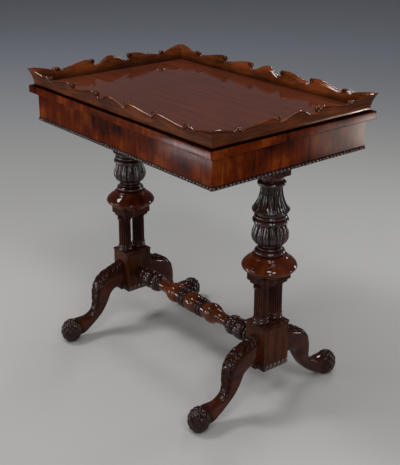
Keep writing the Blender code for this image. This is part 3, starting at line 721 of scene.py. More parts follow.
class WORKTABLE_OT_stage(Operator):
    """Lay the studio floor, hang the lights and set the camera"""

    bl_idname = "worktable.stage"
    bl_label = "Studio"

    def add_floor(self, colours):
        clear_selection()
        bpy.ops.mesh.primitive_circle_add(vertices=96, radius=FLOOR_RADIUS, fill_type="TRIFAN")
        floor = bpy.context.active_object
        floor.name = "studio_floor"
        finish = bpy.data.materials.new("studio floor")
        finish.use_nodes = True
        tree = finish.node_tree
        shader = tree.nodes["Principled BSDF"]
        shader.inputs["Roughness"].default_value = 0.75
        place = add_node(tree, "ShaderNodeTexCoord").outputs["Object"]
        reach = add_node(tree, "ShaderNodeVectorMath", {0: place}, operation="LENGTH").outputs["Value"]
        share = add_node(tree, "ShaderNodeMapRange", {"Value": reach, "From Max": FADE_REACH}).outputs[0]
        tone = ramp(tree, share, [
            (0.0, colours.floor), (0.33, shade(colours.floor, 0.93)), (0.66, colours.distance),
        ])
        tree.links.new(tone, shader.inputs["Base Color"])
        floor.data.materials.append(finish)

    def add_lamp(self, name, place, aim, size, power, tint=(1, 1, 1), along=None):
        """Hangs an oblong lamp that faces its aim. Its first side lies along a direction, or level."""
        clear_selection()
        bpy.ops.object.light_add(type="AREA", location=place)
        lamp = bpy.context.active_object
        lamp.name = name
        lamp.data.shape = "RECTANGLE"
        lamp.data.size, lamp.data.size_y = size
        lamp.data.energy = power
        lamp.data.color = tint
        lamp.visible_camera = False
        lamp.rotation_mode = "QUATERNION"
        lamp.rotation_quaternion = (Vector(aim) - Vector(place)).to_track_quat("-Z", "Y")
        if along:
            side = lamp.rotation_quaternion.inverted() @ Vector(along)
            lamp.rotation_quaternion @= Quaternion((0, 0, 1), math.atan2(side.y, side.x))

    def add_world(self, context):
        world = bpy.data.worlds.new("studio air")
        world.use_nodes = True
        background = world.node_tree.nodes["Background"]
        background.inputs["Color"].default_value = AIR_COLOUR
        background.inputs["Strength"].default_value = AIR_STRENGTH
        context.scene.world = world

    def add_camera(self, context):
        clear_selection()
        back = Vector((
            math.sin(CAMERA_AZIMUTH) * math.cos(CAMERA_ELEVATION),
            -math.cos(CAMERA_AZIMUTH) * math.cos(CAMERA_ELEVATION),
            math.sin(CAMERA_ELEVATION),
        ))
        bpy.ops.object.camera_add(location=CAMERA_PLACE)
        camera = bpy.context.active_object
        camera.name = "studio_camera"
        camera.rotation_mode = "QUATERNION"
        camera.rotation_quaternion = (-back).to_track_quat("-Z", "Y")
        camera.data.sensor_width = CAMERA_SENSOR
        camera.data.lens = CAMERA_LENS
        context.scene.camera = camera

    def execute(self, context):
        self.add_floor(context.scene.work_table_colours)
        self.add_world(context)
        for name, settings in LAMPS.items():
            self.add_lamp(name, *settings)
        self.add_camera(context)
        context.scene.view_settings.view_transform = "Standard"
        return {"FINISHED"}


# Shafts

BELL = {"top": 0.0255, "lip": 0.044, "height": 0.056, "curve": 2.3}
CUP = {"top": 0.0365, "belly": 0.0435, "foot": 0.021, "upper": 0.031, "lower": 0.023}
WAIST_RADIUS = 0.033
LIP_HEIGHT = 0.008


class WORKTABLE_OT_shafts(Operator):
    """Turn the two column shafts and carve their hanging leaves and lobed cups"""

    bl_idname = "worktable.shafts"
    bl_label = "Carved shafts"

    def outline(self):
        upper = [
            ease(0.029, 0.026, 0.011, steps=8),
            half_round(0.026, 0.033, 0.012, steps=12),
        ]
        bell = [
            flare(BELL["top"], BELL["lip"], BELL["height"], BELL["curve"], steps=42),
            under(BELL["lip"], WAIST_RADIUS, LIP_HEIGHT, steps=10),
        ]
        rings = [
            band(WAIST_RADIUS, 0.004),
            half_round(WAIST_RADIUS, 0.038, 0.009),
            half_round(CUP["top"], 0.042, 0.011, steps=10),
        ]
        cup = [
            ease(CUP["top"], CUP["belly"], CUP["upper"], steps=20),
            under(CUP["belly"], CUP["foot"], CUP["lower"], steps=18),
        ]
        foot = [
            band(CUP["foot"], 0.0045),
            half_round(CUP["foot"], 0.029, 0.007),
            half_round(0.029, 0.036, 0.0122, steps=12),
        ]
        self.bell_top = stacked(upper, SHAFT_HIGH)[-1][1]
        self.cup_top = stacked(upper + bell + rings, SHAFT_HIGH)[-1][1]
        points = stacked(upper + bell + rings + cup + foot, SHAFT_HIGH)
        return [(0, SHAFT_HIGH), *points, (0, points[-1][1])]

    def leaf_cut(self, angle, drop, count):
        """A dished leaf with a raised rim and a vein. Its round tip stands clear of a second row."""
        u = across_lobe(angle, count)
        tip = 0.76
        width = 1.0 if drop < tip else math.sqrt(max(0.0025, 1 - ((drop - tip) / 0.36) ** 2))
        edge = u / width
        dish = 0.0017 * (1 - rise(0.5, 0.8, edge))
        vein = -0.0009 * max(0.0, 1 - u / 0.13)
        gutter = 0.0034 * rise(0.84, 1.0, edge)
        behind = across_lobe(angle + math.pi / count, count)
        second = 0.0026 + 0.0012 * behind ** 2 + 0.0012 * rise(0.4, 0.6, behind)
        fade = rise(0.0, 0.035, drop)
        front = (dish + vein + gutter) * fade
        if drop < tip:
            return front
        open_ground = rise(0.96, 1.06, edge)
        return front * (1 - open_ground) + second * open_ground

    def lobe_cut(self, angle, drop, count):
        """Lobes with round upper ends, deep lines between them that carve() paints dark as shade, and a
        groove down each.
        """
        u = across_lobe(angle, count)
        begin = 0.02
        full = 0.2
        width = math.sqrt(max(0.0025, 1 - ((full - drop) / (full - begin)) ** 2)) if drop < full else 1.0
        edge = min(1.3, u / width)
        ends = rise(begin - 0.02, begin + 0.04, drop) * (1 - rise(0.93, 1.0, drop))
        body = 0.0034 * min(1.0, edge) ** 2.6
        vein = 0.002 * max(0.0, 1 - u / 0.2) * rise(0.22, 0.34, drop) * (1 - rise(0.85, 0.97, drop))
        return (body + vein) * ends

    def execute(self, context):
        sizes = context.scene.work_table_sizes
        centre = (PEDESTAL_X, 0, 0)
        shaft = turn_piece("shaft_carving_right", self.outline(), centre, 20 * sizes.bell_leaves)
        cup_height = CUP["upper"] + CUP["lower"]

        def cut(angle, height, radius):
            bell_drop = (self.bell_top - height) / BELL["height"]
            cup_drop = (self.cup_top - height) / cup_height
            if 0 < bell_drop < 1 + LIP_HEIGHT / BELL["height"] and radius > WAIST_RADIUS * 0.7:
                return self.leaf_cut(angle, bell_drop, sizes.bell_leaves)
            if 0 < cup_drop < 1:
                return self.lobe_cut(angle, cup_drop, sizes.cup_lobes)
            return 0.0

        carve(shaft, centre, cut)
        settle_pair(context, shaft, "column_shaft", "carved")
        return {"FINISHED"}


# Buns

# Outline as (radius, drop below the top): a small raised boss, a cone, and a tightly rolled rim
BUN_OUTLINE = (
    (0.0370, 0.0), (0.0402, 0.0011), (0.0424, 0.0034), (0.0438, 0.0060), (0.0472, 0.0086),
    (0.0526, 0.0124), (0.0576, 0.0168), (0.0618, 0.0212), (0.0642, 0.0256), (0.0645, 0.0292),
    (0.0626, 0.0334), (0.0582, 0.0370), (0.0516, 0.0396), (0.0462, 0.0408), (0.0440, 0.0420),
)


class WORKTABLE_OT_buns(Operator):
    """Turn the two flattened buns under the shafts"""

    bl_idname = "worktable.buns"
    bl_label = "Buns"

    def execute(self, context):
        curve = smooth_through([Vector(point) for point in BUN_OUTLINE], 4)
        points = [(radius, BUN_HIGH - drop) for radius, drop in curve]
        foot = BUN_OUTLINE[-1][0]
        profile = [(0, BUN_HIGH), *points, (foot, BUN_LOW), (0, BUN_LOW)]
        bun = turn_piece("polished_bun_right", profile, (PEDESTAL_X, 0, 0), steps=96)
        settle_pair(context, bun, "bun", "polished")
        return {"FINISHED"}


# Colonettes

COLUMN_RADIUS = 0.0164
COLUMN_TAPER = 0.0003
REED_DEPTH = 0.0016


class WORKTABLE_OT_colonettes(Operator):
    """Turn the four colonettes and work the reeds up their shafts"""

    bl_idname = "worktable.colonettes"
    bl_label = "Reeded colonettes"

    def execute(self, context):
        reeds = context.scene.work_table_sizes.reeds
        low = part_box("plinth_cap_right")[1].z + FIT
        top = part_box("abacus_right")[0].z - FIT
        capital = [band(0.0186, 0.003), half_round(0.0166, 0.0192, 0.006)]
        base = [half_round(0.0168, 0.0186, 0.005), band(0.0168, 0.0025), half_round(0.017, 0.019, 0.008)]
        length = top - low - height_of(capital + base)
        column = [(COLUMN_RADIUS + COLUMN_TAPER * i / 16, length * i / 16) for i in range(17)]
        points = stacked([*capital, column, *base], top)
        profile = [(0, top), *points, (0, points[-1][1])]
        reed_high = top - height_of(capital)
        reed_low = reed_high - length
        place = node_middle("colonette_back_right")
        colonette = turn_piece("reeded_colonette_back_right", profile, (place.x, place.y, 0), 10 * reeds)

        def cut(angle, height, radius):
            if radius < COLUMN_RADIUS / 2:
                return 0.0
            foot = rise(reed_low + 0.001, reed_low + 0.004, height)
            head = 1 - rise(reed_high - 0.004, reed_high - 0.001, height)
            return REED_DEPTH * across_lobe(angle, reeds) ** 3 * foot * head

        carve(colonette, (place.x, place.y, 0), cut)
        heights = [vertex.co.z for vertex in colonette.data.vertices]
        rings = [1.0 - rise(reed_low - 0.001, reed_low + 0.001, height) for height in heights]
        add_attribute(colonette, "bright", rings)
        copies = {("back", "right"): colonette}
        for end in ENDS:
            for side in SIDES:
                if (end, side) not in copies:
                    there = node_middle(f"colonette_{end}_{side}")
                    move = (there.x - place.x, there.y - place.y, 0)
                    copies[end, side] = copy_piece(colonette, f"reeded_colonette_{end}_{side}", move)
        finish = finish_for(context, "reeded")
        for (end, side), piece in copies.items():
            settle(piece, "table", [f"colonette_{end}_{side}"], finish)
        return {"FINISHED"}


# Blocks

# Thickness of the abacus above its cove, and how far the cove sets back
ABACUS_PLATE = 0.018
ABACUS_COVE = 0.0055
# Height and setback of the fillet under a plinth cap, and the roundness of the cap's nose
CAP_FILLET = 0.0016
CAP_SETBACK = 0.0012
CAP_NOSE = 0.0014


class WORKTABLE_OT_blocks(Operator):
    """Shape the cap blocks, abaci, plinth caps and plinth blocks with softened edges"""

    bl_idname = "worktable.blocks"
    bl_label = "Blocks and caps"

    def abacus_levels(self, low, high, rounding):
        """A thick plate over a hollow cove."""
        plate = high - ABACUS_PLATE
        cove = [
            (plate - (plate - low) * (1 - math.cos(a)), ABACUS_COVE * math.sin(a))
            for a in (math.pi / 2 * (1 - i / 10) for i in range(10))
        ]
        return cove + block_levels(plate, high, rounding)[2:]

    def plinth_cap_levels(self, low, high, rounding):
        """A half-round edge over a thin fillet."""
        fillet = low + CAP_FILLET
        middle = (fillet + high) / 2
        nose = [
            (middle - (high - fillet) / 2 * math.cos(a), CAP_NOSE * (1 - math.sin(a)))
            for a in (math.pi * i / 10 for i in range(11))
        ]
        return [(low, CAP_SETBACK), (fillet, CAP_SETBACK)] + nose

    def execute(self, context):
        rounding = context.scene.work_table_sizes.edge_round
        plans = (
            ("cap_block", "softened_cap_block", block_levels, "reeded", "carved_rosewood"),
            ("abacus", "coved_abacus", self.abacus_levels, "reeded", "carved_rosewood"),
            ("plinth_cap", "moulded_plinth_cap", self.plinth_cap_levels, "reeded", "carved_rosewood"),
            ("plinth_block", "polished_plinth_block", block_levels, "block", "turned_rosewood"),
        )
        for node, name, levels, finish, slot in plans:
            low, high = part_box(f"{node}_right")
            size = high - low
            centre = (low + high) / 2
            shape = levels(low.z, high.z, rounding)
            block = block_piece(f"{name}_right", centre, size.x, size.y, shape, rounding)
            settle_pair(context, block, node, finish)
        return {"FINISHED"}


# Share of the plinth moulding's projection that is left between its lobes
LOBE_BASE = 0.2


class WORKTABLE_OT_gadroons(Operator):
    """Carve the lobed moulding under each plinth block"""

    bl_idname = "worktable.gadroons"
    bl_label = "Gadrooned mouldings"

    def execute(self, context):
        pitch = context.scene.work_table_sizes.gadroon_pitch
        low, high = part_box("plinth_moulding_right")
        centre = (low + high) / 2
        depth = high.y - low.y
        block = BLOCK_HIGH.x - BLOCK_LOW.x
        proud = (high.x - low.x - block) / 2
        count = round(depth / pitch)
        stations = [low.y + depth * i / (count * 10) for i in range(count * 10 + 1)]

        def swell(y):
            return abs(math.sin(math.pi * count * (y - low.y) / depth))

        rings = []
        for y in stations:
            lobe = LOBE_BASE + (1 - LOBE_BASE) * swell(y) ** 0.6
            ring = []
            for i in range(13):
                t = i / 12
                bulge = LOBE_BASE * proud
                if t < 0.9:
                    bulge = proud * lobe * math.sin(math.pi * min(1.0, t * 1.12)) ** 0.7
                ring.append((block / 2 - 2 * FIT + bulge, high.z - (high.z - low.z) * t))
            rings.append(
                [(centre.x + x, y, z) for x, z in ring] + [(centre.x - x, y, z) for x, z in reversed(ring)]
            )
        moulding = loft_piece("gadrooned_moulding_right", rings, sharp=CARVED_ANGLE)
        # Painted shade between the lobes
        hollows = [1 - swell(vertex.co.y) ** 0.5 for vertex in moulding.data.vertices]
        add_attribute(moulding, "hollow", hollows)
        settle_pair(context, moulding, "plinth_moulding", "beaded")
        return {"FINISHED"}


# Stretcher

RING_LENGTH = 0.006
LOTUS_LENGTH = 0.031
BALL_LENGTH = 0.034
VASE_NECK = 0.0145
VASE_SWELL = 0.0115
# Swell of a vase from 0 to 1, at shares of its length
VASE_SHAPE = ((0.0, 0.72), (0.13, 0.95), (0.26, 1.0), (0.38, 0.8), (0.52, 0.36), (0.72, 0.06), (1.0, 0.0))


class WORKTABLE_OT_stretcher(Operator):
    """Turn the stretcher and carve the lobes of its collars"""

    bl_idname = "worktable.stretcher"
    bl_label = "Turned stretcher"

    def execute(self, context):
        lobes = context.scene.work_table_sizes.lotus_lobes
        reach = BLOCK_LOW.x - FIT
        inner = [
            under(0.026, 0.020, 0.022, steps=14),
            half_round(0.020, 0.0255, 0.013, steps=10),
            half_round(0.020, 0.0248, 0.011, steps=10),
            band(0.021, 0.013),
        ]
        outer = [
            half_round(VASE_NECK, 0.0172, RING_LENGTH, steps=6),
            half_round(VASE_NECK, 0.0253, LOTUS_LENGTH, steps=22),
            half_round(0.0195, 0.026, BALL_LENGTH, steps=22),
            half_round(0.016, 0.021, 0.014, steps=10),
            band(0.016, 0.0222),
        ]
        vase_length = reach - height_of(inner + outer)
        points = [Vector((VASE_NECK + VASE_SWELL * swell, vase_length * t)) for t, swell in VASE_SHAPE]
        vase = [tuple(point) for point in smooth_through(points, 7)]
        half = stacked([*inner, vase, *outer], 0)
        lower = [*half, (0, half[-1][1])]
        upper = [(radius, -place) for radius, place in lower[:0:-1]]
        centre = (0, 0, STRETCHER_Z)
        stretcher = turn_piece("turned_stretcher", upper + lower, centre, 8 * lobes, along_x=True)

        vase_start = height_of(inner)
        lotus = vase_start + vase_length + RING_LENGTH
        ball = lotus + LOTUS_LENGTH

        def cut(angle, place, radius):
            along = abs(place)
            if lotus < along < lotus + LOTUS_LENGTH:
                envelope = math.sin(math.pi * (along - lotus) / LOTUS_LENGTH) ** 0.7
                return 0.0026 * across_lobe(angle, lobes) ** 4 * envelope
            if ball < along < ball + BALL_LENGTH:
                envelope = math.sin(math.pi * (along - ball) / BALL_LENGTH)
                return 0.0016 * across_lobe(angle + math.pi / lobes, lobes) ** 4 * envelope
            return 0.0

        carve(stretcher, centre, cut, along_x=True)
        dark = []
        for vertex in stretcher.data.vertices:
            along = abs(vertex.co.x)
            rings = rise(0.020, 0.022, along) * (1 - rise(vase_start - 0.004, vase_start, along))
            dark.append(max(rings, rise(lotus - 0.007, lotus - 0.005, along)))
        add_attribute(stretcher, "carved", dark)
        add_attribute(stretcher, "tooled", [0.15 * value for value in dark])
        settle(stretcher, "table", ["stretcher"], finish_for(context, "stretcher"))
        return {"FINISHED"}


# Legs

# Crest and underside, each as shares of the leg's reach and of its root's height, and the swell of its width
LEG_STATIONS = (
    ((0.00, 1.000), (0.00, 0.610), 0.6),
    ((0.08, 0.965), (0.11, 0.615), 0.75),
    ((0.18, 0.930), (0.20, 0.620), 0.95),
    ((0.37, 0.870), (0.28, 0.565), 1.0),
    ((0.50, 0.750), (0.31, 0.505), 1.0),
    ((0.545, 0.590), (0.345, 0.440), 0.8),
    ((0.555, 0.440), (0.395, 0.365), 0.4),
    ((0.61, 0.355), (0.465, 0.285), 0.1),
    ((0.73, 0.310), (0.61, 0.175), 0.0),
    ((0.88, 0.310), (0.80, 0.080), 0.3),
    ((0.99, 0.290), (0.95, 0.080), 0.3),
)
TOE = {"width": 0.052, "length": 0.060, "height": 0.0655, "flat": 0.0015}
LEG_ROOT_DROP = 0.0205
LEG_WIDTH = 0.030
LEG_SWELL = 0.016
LEAF_LOBES = 15
KNURL_DEPTH = 0.0028
BRACKET = {"radius": 0.0058, "length": 0.036, "out": 0.0095, "sunk": 0.0008}


class WORKTABLE_OT_legs(Operator):
    """Shape the four scroll legs, with leaf-carved knees and knurled toes"""

    bl_idname = "worktable.legs"
    bl_label = "Scroll legs"

    def leaf_relief(self, share, across):
        """Height of the leaf on the knee, and how deep in its lines a place lies, which sets the painted
        shade there.

        The leaf has a rib down the middle and scalloped lobes that slant away from it.
        """
        extent = rise(0.03, 0.1, share) * (1 - rise(0.6, 0.74, share))
        rib = 0.0018 * math.exp(-((across / 0.13) ** 2))
        lobe = abs(math.sin(math.pi * (LEAF_LOBES * share - 0.9 * abs(across)))) ** 0.7
        lobes = 0.0032 * lobe * (0.35 + 0.65 * rise(0.1, 0.6, abs(across)))
        return extent * (rib + lobes - 0.0018), extent * (1 - lobe) * rise(0.05, 0.3, abs(across))

    def shank(self):
        """Rings of the leg from the block to the toe, with the marks of every point."""
        root_top = BLOCK_HIGH.z - LEG_ROOT_DROP
        start = BLOCK_HIGH.y + FIT
        reach = LEG_TIP - TOE["length"] / 2
        steps = 14
        points = 72

        def at(out, up):
            return Vector((start + (reach - start) * out, root_top * up))

        stations = list(zip(*LEG_STATIONS))
        crest = smooth_through([at(*share) for share in stations[0]], steps)
        underside = smooth_through([at(*share) for share in stations[1]], steps)
        widths = smooth_through([LEG_WIDTH + LEG_SWELL * share for share in stations[2]], steps)
        rings = []
        marks = []
        for k, (high, low, width) in enumerate(zip(crest, underside, widths)):
            share = k / (len(crest) - 1)
            away = (high - low).normalized()
            ring = []
            for i in range(points):
                angle = 2 * math.pi * (i + 0.5) / points
                c = math.copysign(abs(math.cos(angle)) ** 0.6, math.cos(angle))
                s = math.copysign(abs(math.sin(angle)) ** 0.6, math.sin(angle))
                on_crest = rise(0.7, 0.92, s)
                height, line = self.leaf_relief(share, c)
                place = (high + low) / 2 + (high - low) / 2 * s + away * height * on_crest
                ring.append((PEDESTAL_X + width / 2 * c, place.x, place.y))
                dark = max(rise(0.5, 0.8, s) * (1 - rise(0.72, 0.82, share)), rise(0.86, 0.93, share))
                # The hollow mark paints shade into the leaf's lines
                marks.append({"carved": dark, "dull": dark, "tooled": 0.2 * dark, "hollow": line * on_crest})
            rings.append(ring)
        return rings, marks

    def knurl(self):
        """A rounded toe cut with a diagonal pattern of small facets, standing on a little flat."""
        clear_selection()
        bpy.ops.mesh.primitive_uv_sphere_add(segments=72, ring_count=44, radius=0.5)
        toe = open_piece("toe")
        bpy.ops.transform.resize(value=(TOE["width"], TOE["length"], TOE["height"] + TOE["flat"]))
        reach = LEG_TIP - TOE["length"] / 2
        middle = Vector((PEDESTAL_X, reach, (TOE["height"] - TOE["flat"]) / 2))
        bpy.ops.transform.translate(value=middle)
        close_piece(toe)
        depths = []
        for vertex in toe.data.vertices:
            out = vertex.co - middle
            around = math.atan2(out.x, out.y)
            up = math.asin(max(-1.0, min(1.0, out.z / (TOE["height"] / 2 + 0.001))))
            facets = abs(math.sin(5 * around + 4.5 * up) * math.sin(5 * around - 4.5 * up)) ** 0.6
            fade = rise(-1.2, -0.7, up) * (1 - rise(1.1, 1.4, up))
            depth = KNURL_DEPTH * (1 - facets) * fade
            vertex.co -= out.normalized() * depth
            vertex.co.z = max(0.0, vertex.co.z)
            depths.append(depth / KNURL_DEPTH)
        add_even_marks(toe, {"carved": 1.0, "dull": 0.0, "tooled": 0.5})
        # Painted shade in the cuts between the facets
        add_attribute(toe, "hollow", [0.7 * depth for depth in depths])
        return toe

    def bracket(self):
        """A little rolled scroll under the root of the leg, close to the block."""
        radius = BRACKET["radius"]
        clear_selection()
        bpy.ops.mesh.primitive_cylinder_add(vertices=28, radius=radius, depth=BRACKET["length"])
        roll = open_piece("bracket")
        shape = bmesh.from_edit_mesh(roll.data)
        for face in shape.faces:
            face.select_set(abs(face.normal.z) > 0.9)
        bmesh.update_edit_mesh(roll.data)
        bpy.ops.mesh.bevel(offset=radius * 0.35, segments=3, affect="EDGES")
        bpy.ops.mesh.select_all(action="SELECT")
        bpy.ops.transform.rotate(value=math.pi / 2, orient_axis="Y", center_override=(0, 0, 0))
        root_low = (BLOCK_HIGH.z - LEG_ROOT_DROP) * LEG_STATIONS[0][1][1]
        place = (PEDESTAL_X, BLOCK_HIGH.y + FIT + BRACKET["out"], root_low - BRACKET["sunk"])
        bpy.ops.transform.translate(value=place)
        close_piece(roll)
        add_even_marks(roll, {"carved": 0.5, "dull": 0.0, "tooled": 0.0, "hollow": 0.0})
        return roll

    def execute(self, context):
        rings, marks = self.shank()
        shank = loft_piece("shank", rings, sharp=CARVED_ANGLE)
        mark_rings(shank, rings, marks)
        leg = join_pieces([shank, self.knurl(), self.bracket()], "scroll_leg_back_right")
        legs = {
            ("back", "right"): leg,
            ("back", "left"): copy_piece(leg, "scroll_leg_back_left", TO_LEFT_PEDESTAL),
            ("front", "left"): copy_piece(leg, "scroll_leg_front_left", turn=math.pi),
            ("front", "right"): copy_piece(leg, "scroll_leg_front_right", TO_LEFT_PEDESTAL, math.pi),
        }
        for (end, side), piece in legs.items():
            settle(piece, "table", [f"leg_{end}_{side}"], finish_for(context, "leg"))
        return {"FINISHED"}


# Bead moulding

BEAD_RADIUS = 0.0036
# How far the beads' middles and their noses stand out from the frieze, and the row reaches past its corners
BEAD_OUT = 0.0018
BEAD_NOSE = 0.0026
ROW_OVERRUN = 0.0035
MITRE_GAP = 0.0002


class WORKTABLE_OT_beads(Operator):
    """String the row of small beads under the frieze"""

    bl_idname = "worktable.beads"
    bl_label = "Frieze beads"

    def backing(self, name, half, face, low, high):
        """The strip that the beads are carved from, mitred at its ends."""
        section = [
            (0.0012, high), (0.0018, high - 0.0008), (0.0012, high - 0.0016),
            (0.0012, low + 0.0012), (0.0022, low + 0.0006), (0.0012, low), (-0.009, low), (-0.009, high),
        ]
        rings = [
            [((half + offset - MITRE_GAP) * share, -face - offset, height) for offset, height in section]
            for share in (-1, 1)
        ]
        return loft_piece(name, rings)

    def row(self, name, half, face, level, pitch):
        """Beads side by side, a little drawn in along the row."""
        count = 2 * round(half / pitch)
        step = 2 * half / count
        clear_selection()
        start = (-half + step / 2, -face - BEAD_OUT, level)
        bpy.ops.mesh.primitive_uv_sphere_add(segments=10, ring_count=7, radius=BEAD_RADIUS)
        bead = open_piece(name)
        bpy.ops.transform.resize(value=(min(1.0, 0.4 * step / BEAD_RADIUS), 1.0, 1.0))
        bpy.ops.transform.translate(value=start)
        close_piece(bead)
        array = bead.modifiers.new("Row", "ARRAY")
        array.count = count
        array.use_relative_offset = False
        array.use_constant_offset = True
        array.constant_offset_displace = (step, 0, 0)
        bpy.ops.object.modifier_apply(modifier=array.name)
        return bead

    def execute(self, context):
        pitch = context.scene.work_table_sizes.bead_pitch
        frieze_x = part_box("frieze_right")[1].x
        frieze_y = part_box("frieze_back")[1].y
        low, high = (corner.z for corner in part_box("bead_front"))
        for side, turn in SIDE_TURNS.items():
            half, face = (frieze_x, frieze_y) if side in ENDS else (frieze_y, frieze_x)
            strip = self.backing(f"strip_{side}", half, face, low, high)
            beads = self.row(f"row_{side}", half + ROW_OVERRUN, face, (low + high) / 2, pitch)
            piece = join_pieces([strip, beads], f"straight_bead_run_{side}")
            run = copy_piece(piece, f"bead_run_{side}", turn=turn)
            bpy.data.objects.remove(piece)
            # Painted shade: the further a point lies behind the beads' noses, the darker it is painted
            levels = [rise(-0.0005, 0.0016, self.sunk(v.co, face, side)) for v in run.data.vertices]
            add_attribute(run, "hollow", levels)
            settle(run, "table", [f"bead_{side}"], finish_for(context, "beaded"))
        return {"FINISHED"}

    def sunk(self, point, face, side):
        """How far a point lies behind the beads' noses."""
        out = {"front": -point.y, "back": point.y, "right": point.x, "left": -point.x}[side]
        return face + BEAD_NOSE - out


# Gallery

# Lengths of the half hump and of the ear
HUMP = 0.053
EAR = 0.056
# Heights of the edge above the gallery's foot
PEAK = 0.039
CREST = 0.0375
LOW = 0.022
WAVE_END = 0.0255
BUMP_TOP = 0.0325
EAR_ROOT = 0.0275
# How far a peak leans out, the thickness at the foot, its loss at a peak, and the rounding of the edge
FLARE = 0.0115
FOOT_THICKNESS = 0.011
THINNING = 0.0045
EDGE_ROLL = 0.0038
CORNER_GAP = 0.00015
EYE_HALF_DEPTH = 0.005
EYE_SETBACK = 0.0052
# Number of waves on each half of a side, and the length of the bump beside its ear
LONG_SIDE = (2, 0.034)
SHORT_SIDE = (1, 0.022)


class WORKTABLE_OT_gallery(Operator):
    """Shape the tray's scalloped gallery, with a scroll at each break of its edge"""

    bl_idname = "worktable.gallery"
    bl_label = "Scalloped gallery"

    def wave(self, t):
        crest = 0.17
        if t < crest:
            return LOW + (CREST - LOW) * math.sin(math.pi / 2 * t / crest) ** 0.6
        fall = (t - crest) / (1 - crest)
        return CREST + (WAVE_END - CREST) * (fall + (1 - math.cos(math.pi * fall)) / 2) / 2

    def bump(self, t):
        start = LOW + (EAR_ROOT - LOW) * t
        return start + (BUMP_TOP - start) * math.sin(math.pi * t)

    def runs(self, half, waves, bump):
        length = (half - HUMP - bump - EAR) / waves
        hump = (HUMP, lambda t: LOW + (PEAK - LOW) * math.cos(math.pi / 2 * t) ** 2, 14)
        ear = (EAR, lambda t: EAR_ROOT + (PEAK - EAR_ROOT) * math.sin(math.pi / 2 * t), 14)
        return [hump] + [(length, self.wave, 26)] * waves + [(bump, self.bump, 12), ear]

    def edge(self, half, waves, bump):
        points = []
        start = 0.0
        for length, height_at, steps in self.runs(half, waves, bump):
            points += [(start + length * i / steps, height_at(i / steps)) for i in range(steps)]
            start += length
        points.append((half, PEAK))
        return [(-place, height) for place, height in points[:0:-1]] + points

    def section(self, height):
        """Hollow outer face, rounded top edge and an inner face that follows the outer one, with their marks.

        The top edge is rubbed bright, and the foot of the inner face is painted darker as shade.
        """
        shoulder = height - EDGE_ROLL
        out = [(FLARE * (z / PEAK) ** 2, z) for z in (shoulder * i / 8 for i in range(9))]
        thick = FOOT_THICKNESS - THINNING * height / PEAK
        crown = FLARE * (height / PEAK) ** 2
        top = [
            (crown - thick / 2 + thick / 2 * math.copysign(abs(math.cos(a)) ** 0.8, math.cos(a)),
             shoulder + EDGE_ROLL * math.sin(a) ** 0.9)
            for a in (math.pi * i / 12 for i in range(1, 12))
        ]
        inside = [(offset - FOOT_THICKNESS + THINNING * z / PEAK, z) for offset, z in reversed(out)]
        plain = {"carved": 0.0, "hollow": 0.0, "bright": 0.0}
        marks = [plain] * len(out) + [{**plain, "bright": 1.0}] * len(top)
        # Painted shade: the inner face is painted darker towards its foot
        marks += [{**plain, "hollow": 0.75 * (1 - rise(0.0, 0.024, z))} for offset, z in inside]
        return out + top + inside, marks

    def eye(self, name, place, height, radius):
        """A little round scroll end with a ring cut round its button, just proud of both faces."""
        drops = ((0, 0), (0.36, 0), (0.46, 0.0014), (0.6, 0.0014), (0.7, 0), (0.88, 0.0006), (1, 0.0026))
        half = [(share * radius, EYE_HALF_DEPTH - drop) for share, drop in drops]
        eye = turn_piece(name, half + [(r, -z) for r, z in reversed(half)], (0, 0, 0), steps=24)
        bpy.ops.object.mode_set(mode="EDIT")
        bpy.ops.mesh.select_all(action="SELECT")
        bpy.ops.transform.rotate(value=math.pi / 2, orient_axis="X", center_override=(0, 0, 0))
        offset = FLARE * (height / PEAK) ** 2 - EYE_SETBACK
        level = GALLERY_LOW_Z + height
        bpy.ops.transform.translate(value=(place, -offset, level))
        close_piece(eye)
        corners = [vertex.co for vertex in eye.data.vertices]
        reach = [math.hypot(corner.x - place, corner.z - level) / radius for corner in corners]
        # Painted shade in the ring cut round the button
        add_attribute(eye, "hollow", [float(0.4 < share < 0.65) for share in reach])
        add_even_marks(eye, {"carved": 0.3, "bright": 0.25})
        return eye

    def board(self, context, side, half, face, waves, bump, turn):
        radius = context.scene.work_table_sizes.scroll_radius
        edge = self.edge(half, waves, bump)
        rings = []
        marks = []
        for place, height in edge:
            section, section_marks = self.section(height)
            rings.append([
                ((half + offset - CORNER_GAP) * place / half, -offset, GALLERY_LOW_Z + z)
                for offset, z in section
            ])
            marks += section_marks
        parts = [loft_piece(f"board_{side}", rings, sharp=50)]
        mark_rings(parts[0], rings, marks)
        length = (half - HUMP - bump - EAR) / waves
        eyes = [(HUMP + length * k + radius * 0.9, PEAK - radius - 0.0004, radius) for k in range(waves)]
        eyes.append((half - EAR - bump + radius * 1.3, BUMP_TOP - radius * 0.8, radius * 0.85))
        for k, (place, height, size) in enumerate(eyes):
            for sign in (-1, 1):
                parts.append(self.eye(f"eye_{side}_{k}_{sign}", sign * place, height, size))
        flat = join_pieces(parts, f"flat_gallery_{side}")
        moved = copy_piece(flat, f"moved_gallery_{side}", move=(0, -face, 0))
        board = copy_piece(moved, f"scalloped_gallery_{side}", turn=turn)
        for spare in (flat, moved):
            bpy.data.objects.remove(spare)
        settle(board, "tray", [f"gallery_{side}"], finish_for(context, "gallery"))

    def execute(self, context):
        half_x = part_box("gallery_right")[1].x - FLARE
        half_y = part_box("gallery_back")[1].y - FLARE
        for side, turn in SIDE_TURNS.items():
            if side in ENDS:
                self.board(context, side, half_x, half_y, *LONG_SIDE, turn)
            else:
                self.board(context, side, half_y, half_x, *SHORT_SIDE, turn)
        return {"FINISHED"}


# Boards

# Width of the painted shadow band on the top board's upper face round the tray's foot, and the share of it
# where its inner line ends
SHADOW_BAND_WIDTH = 0.03
MARGIN_END = 1.1
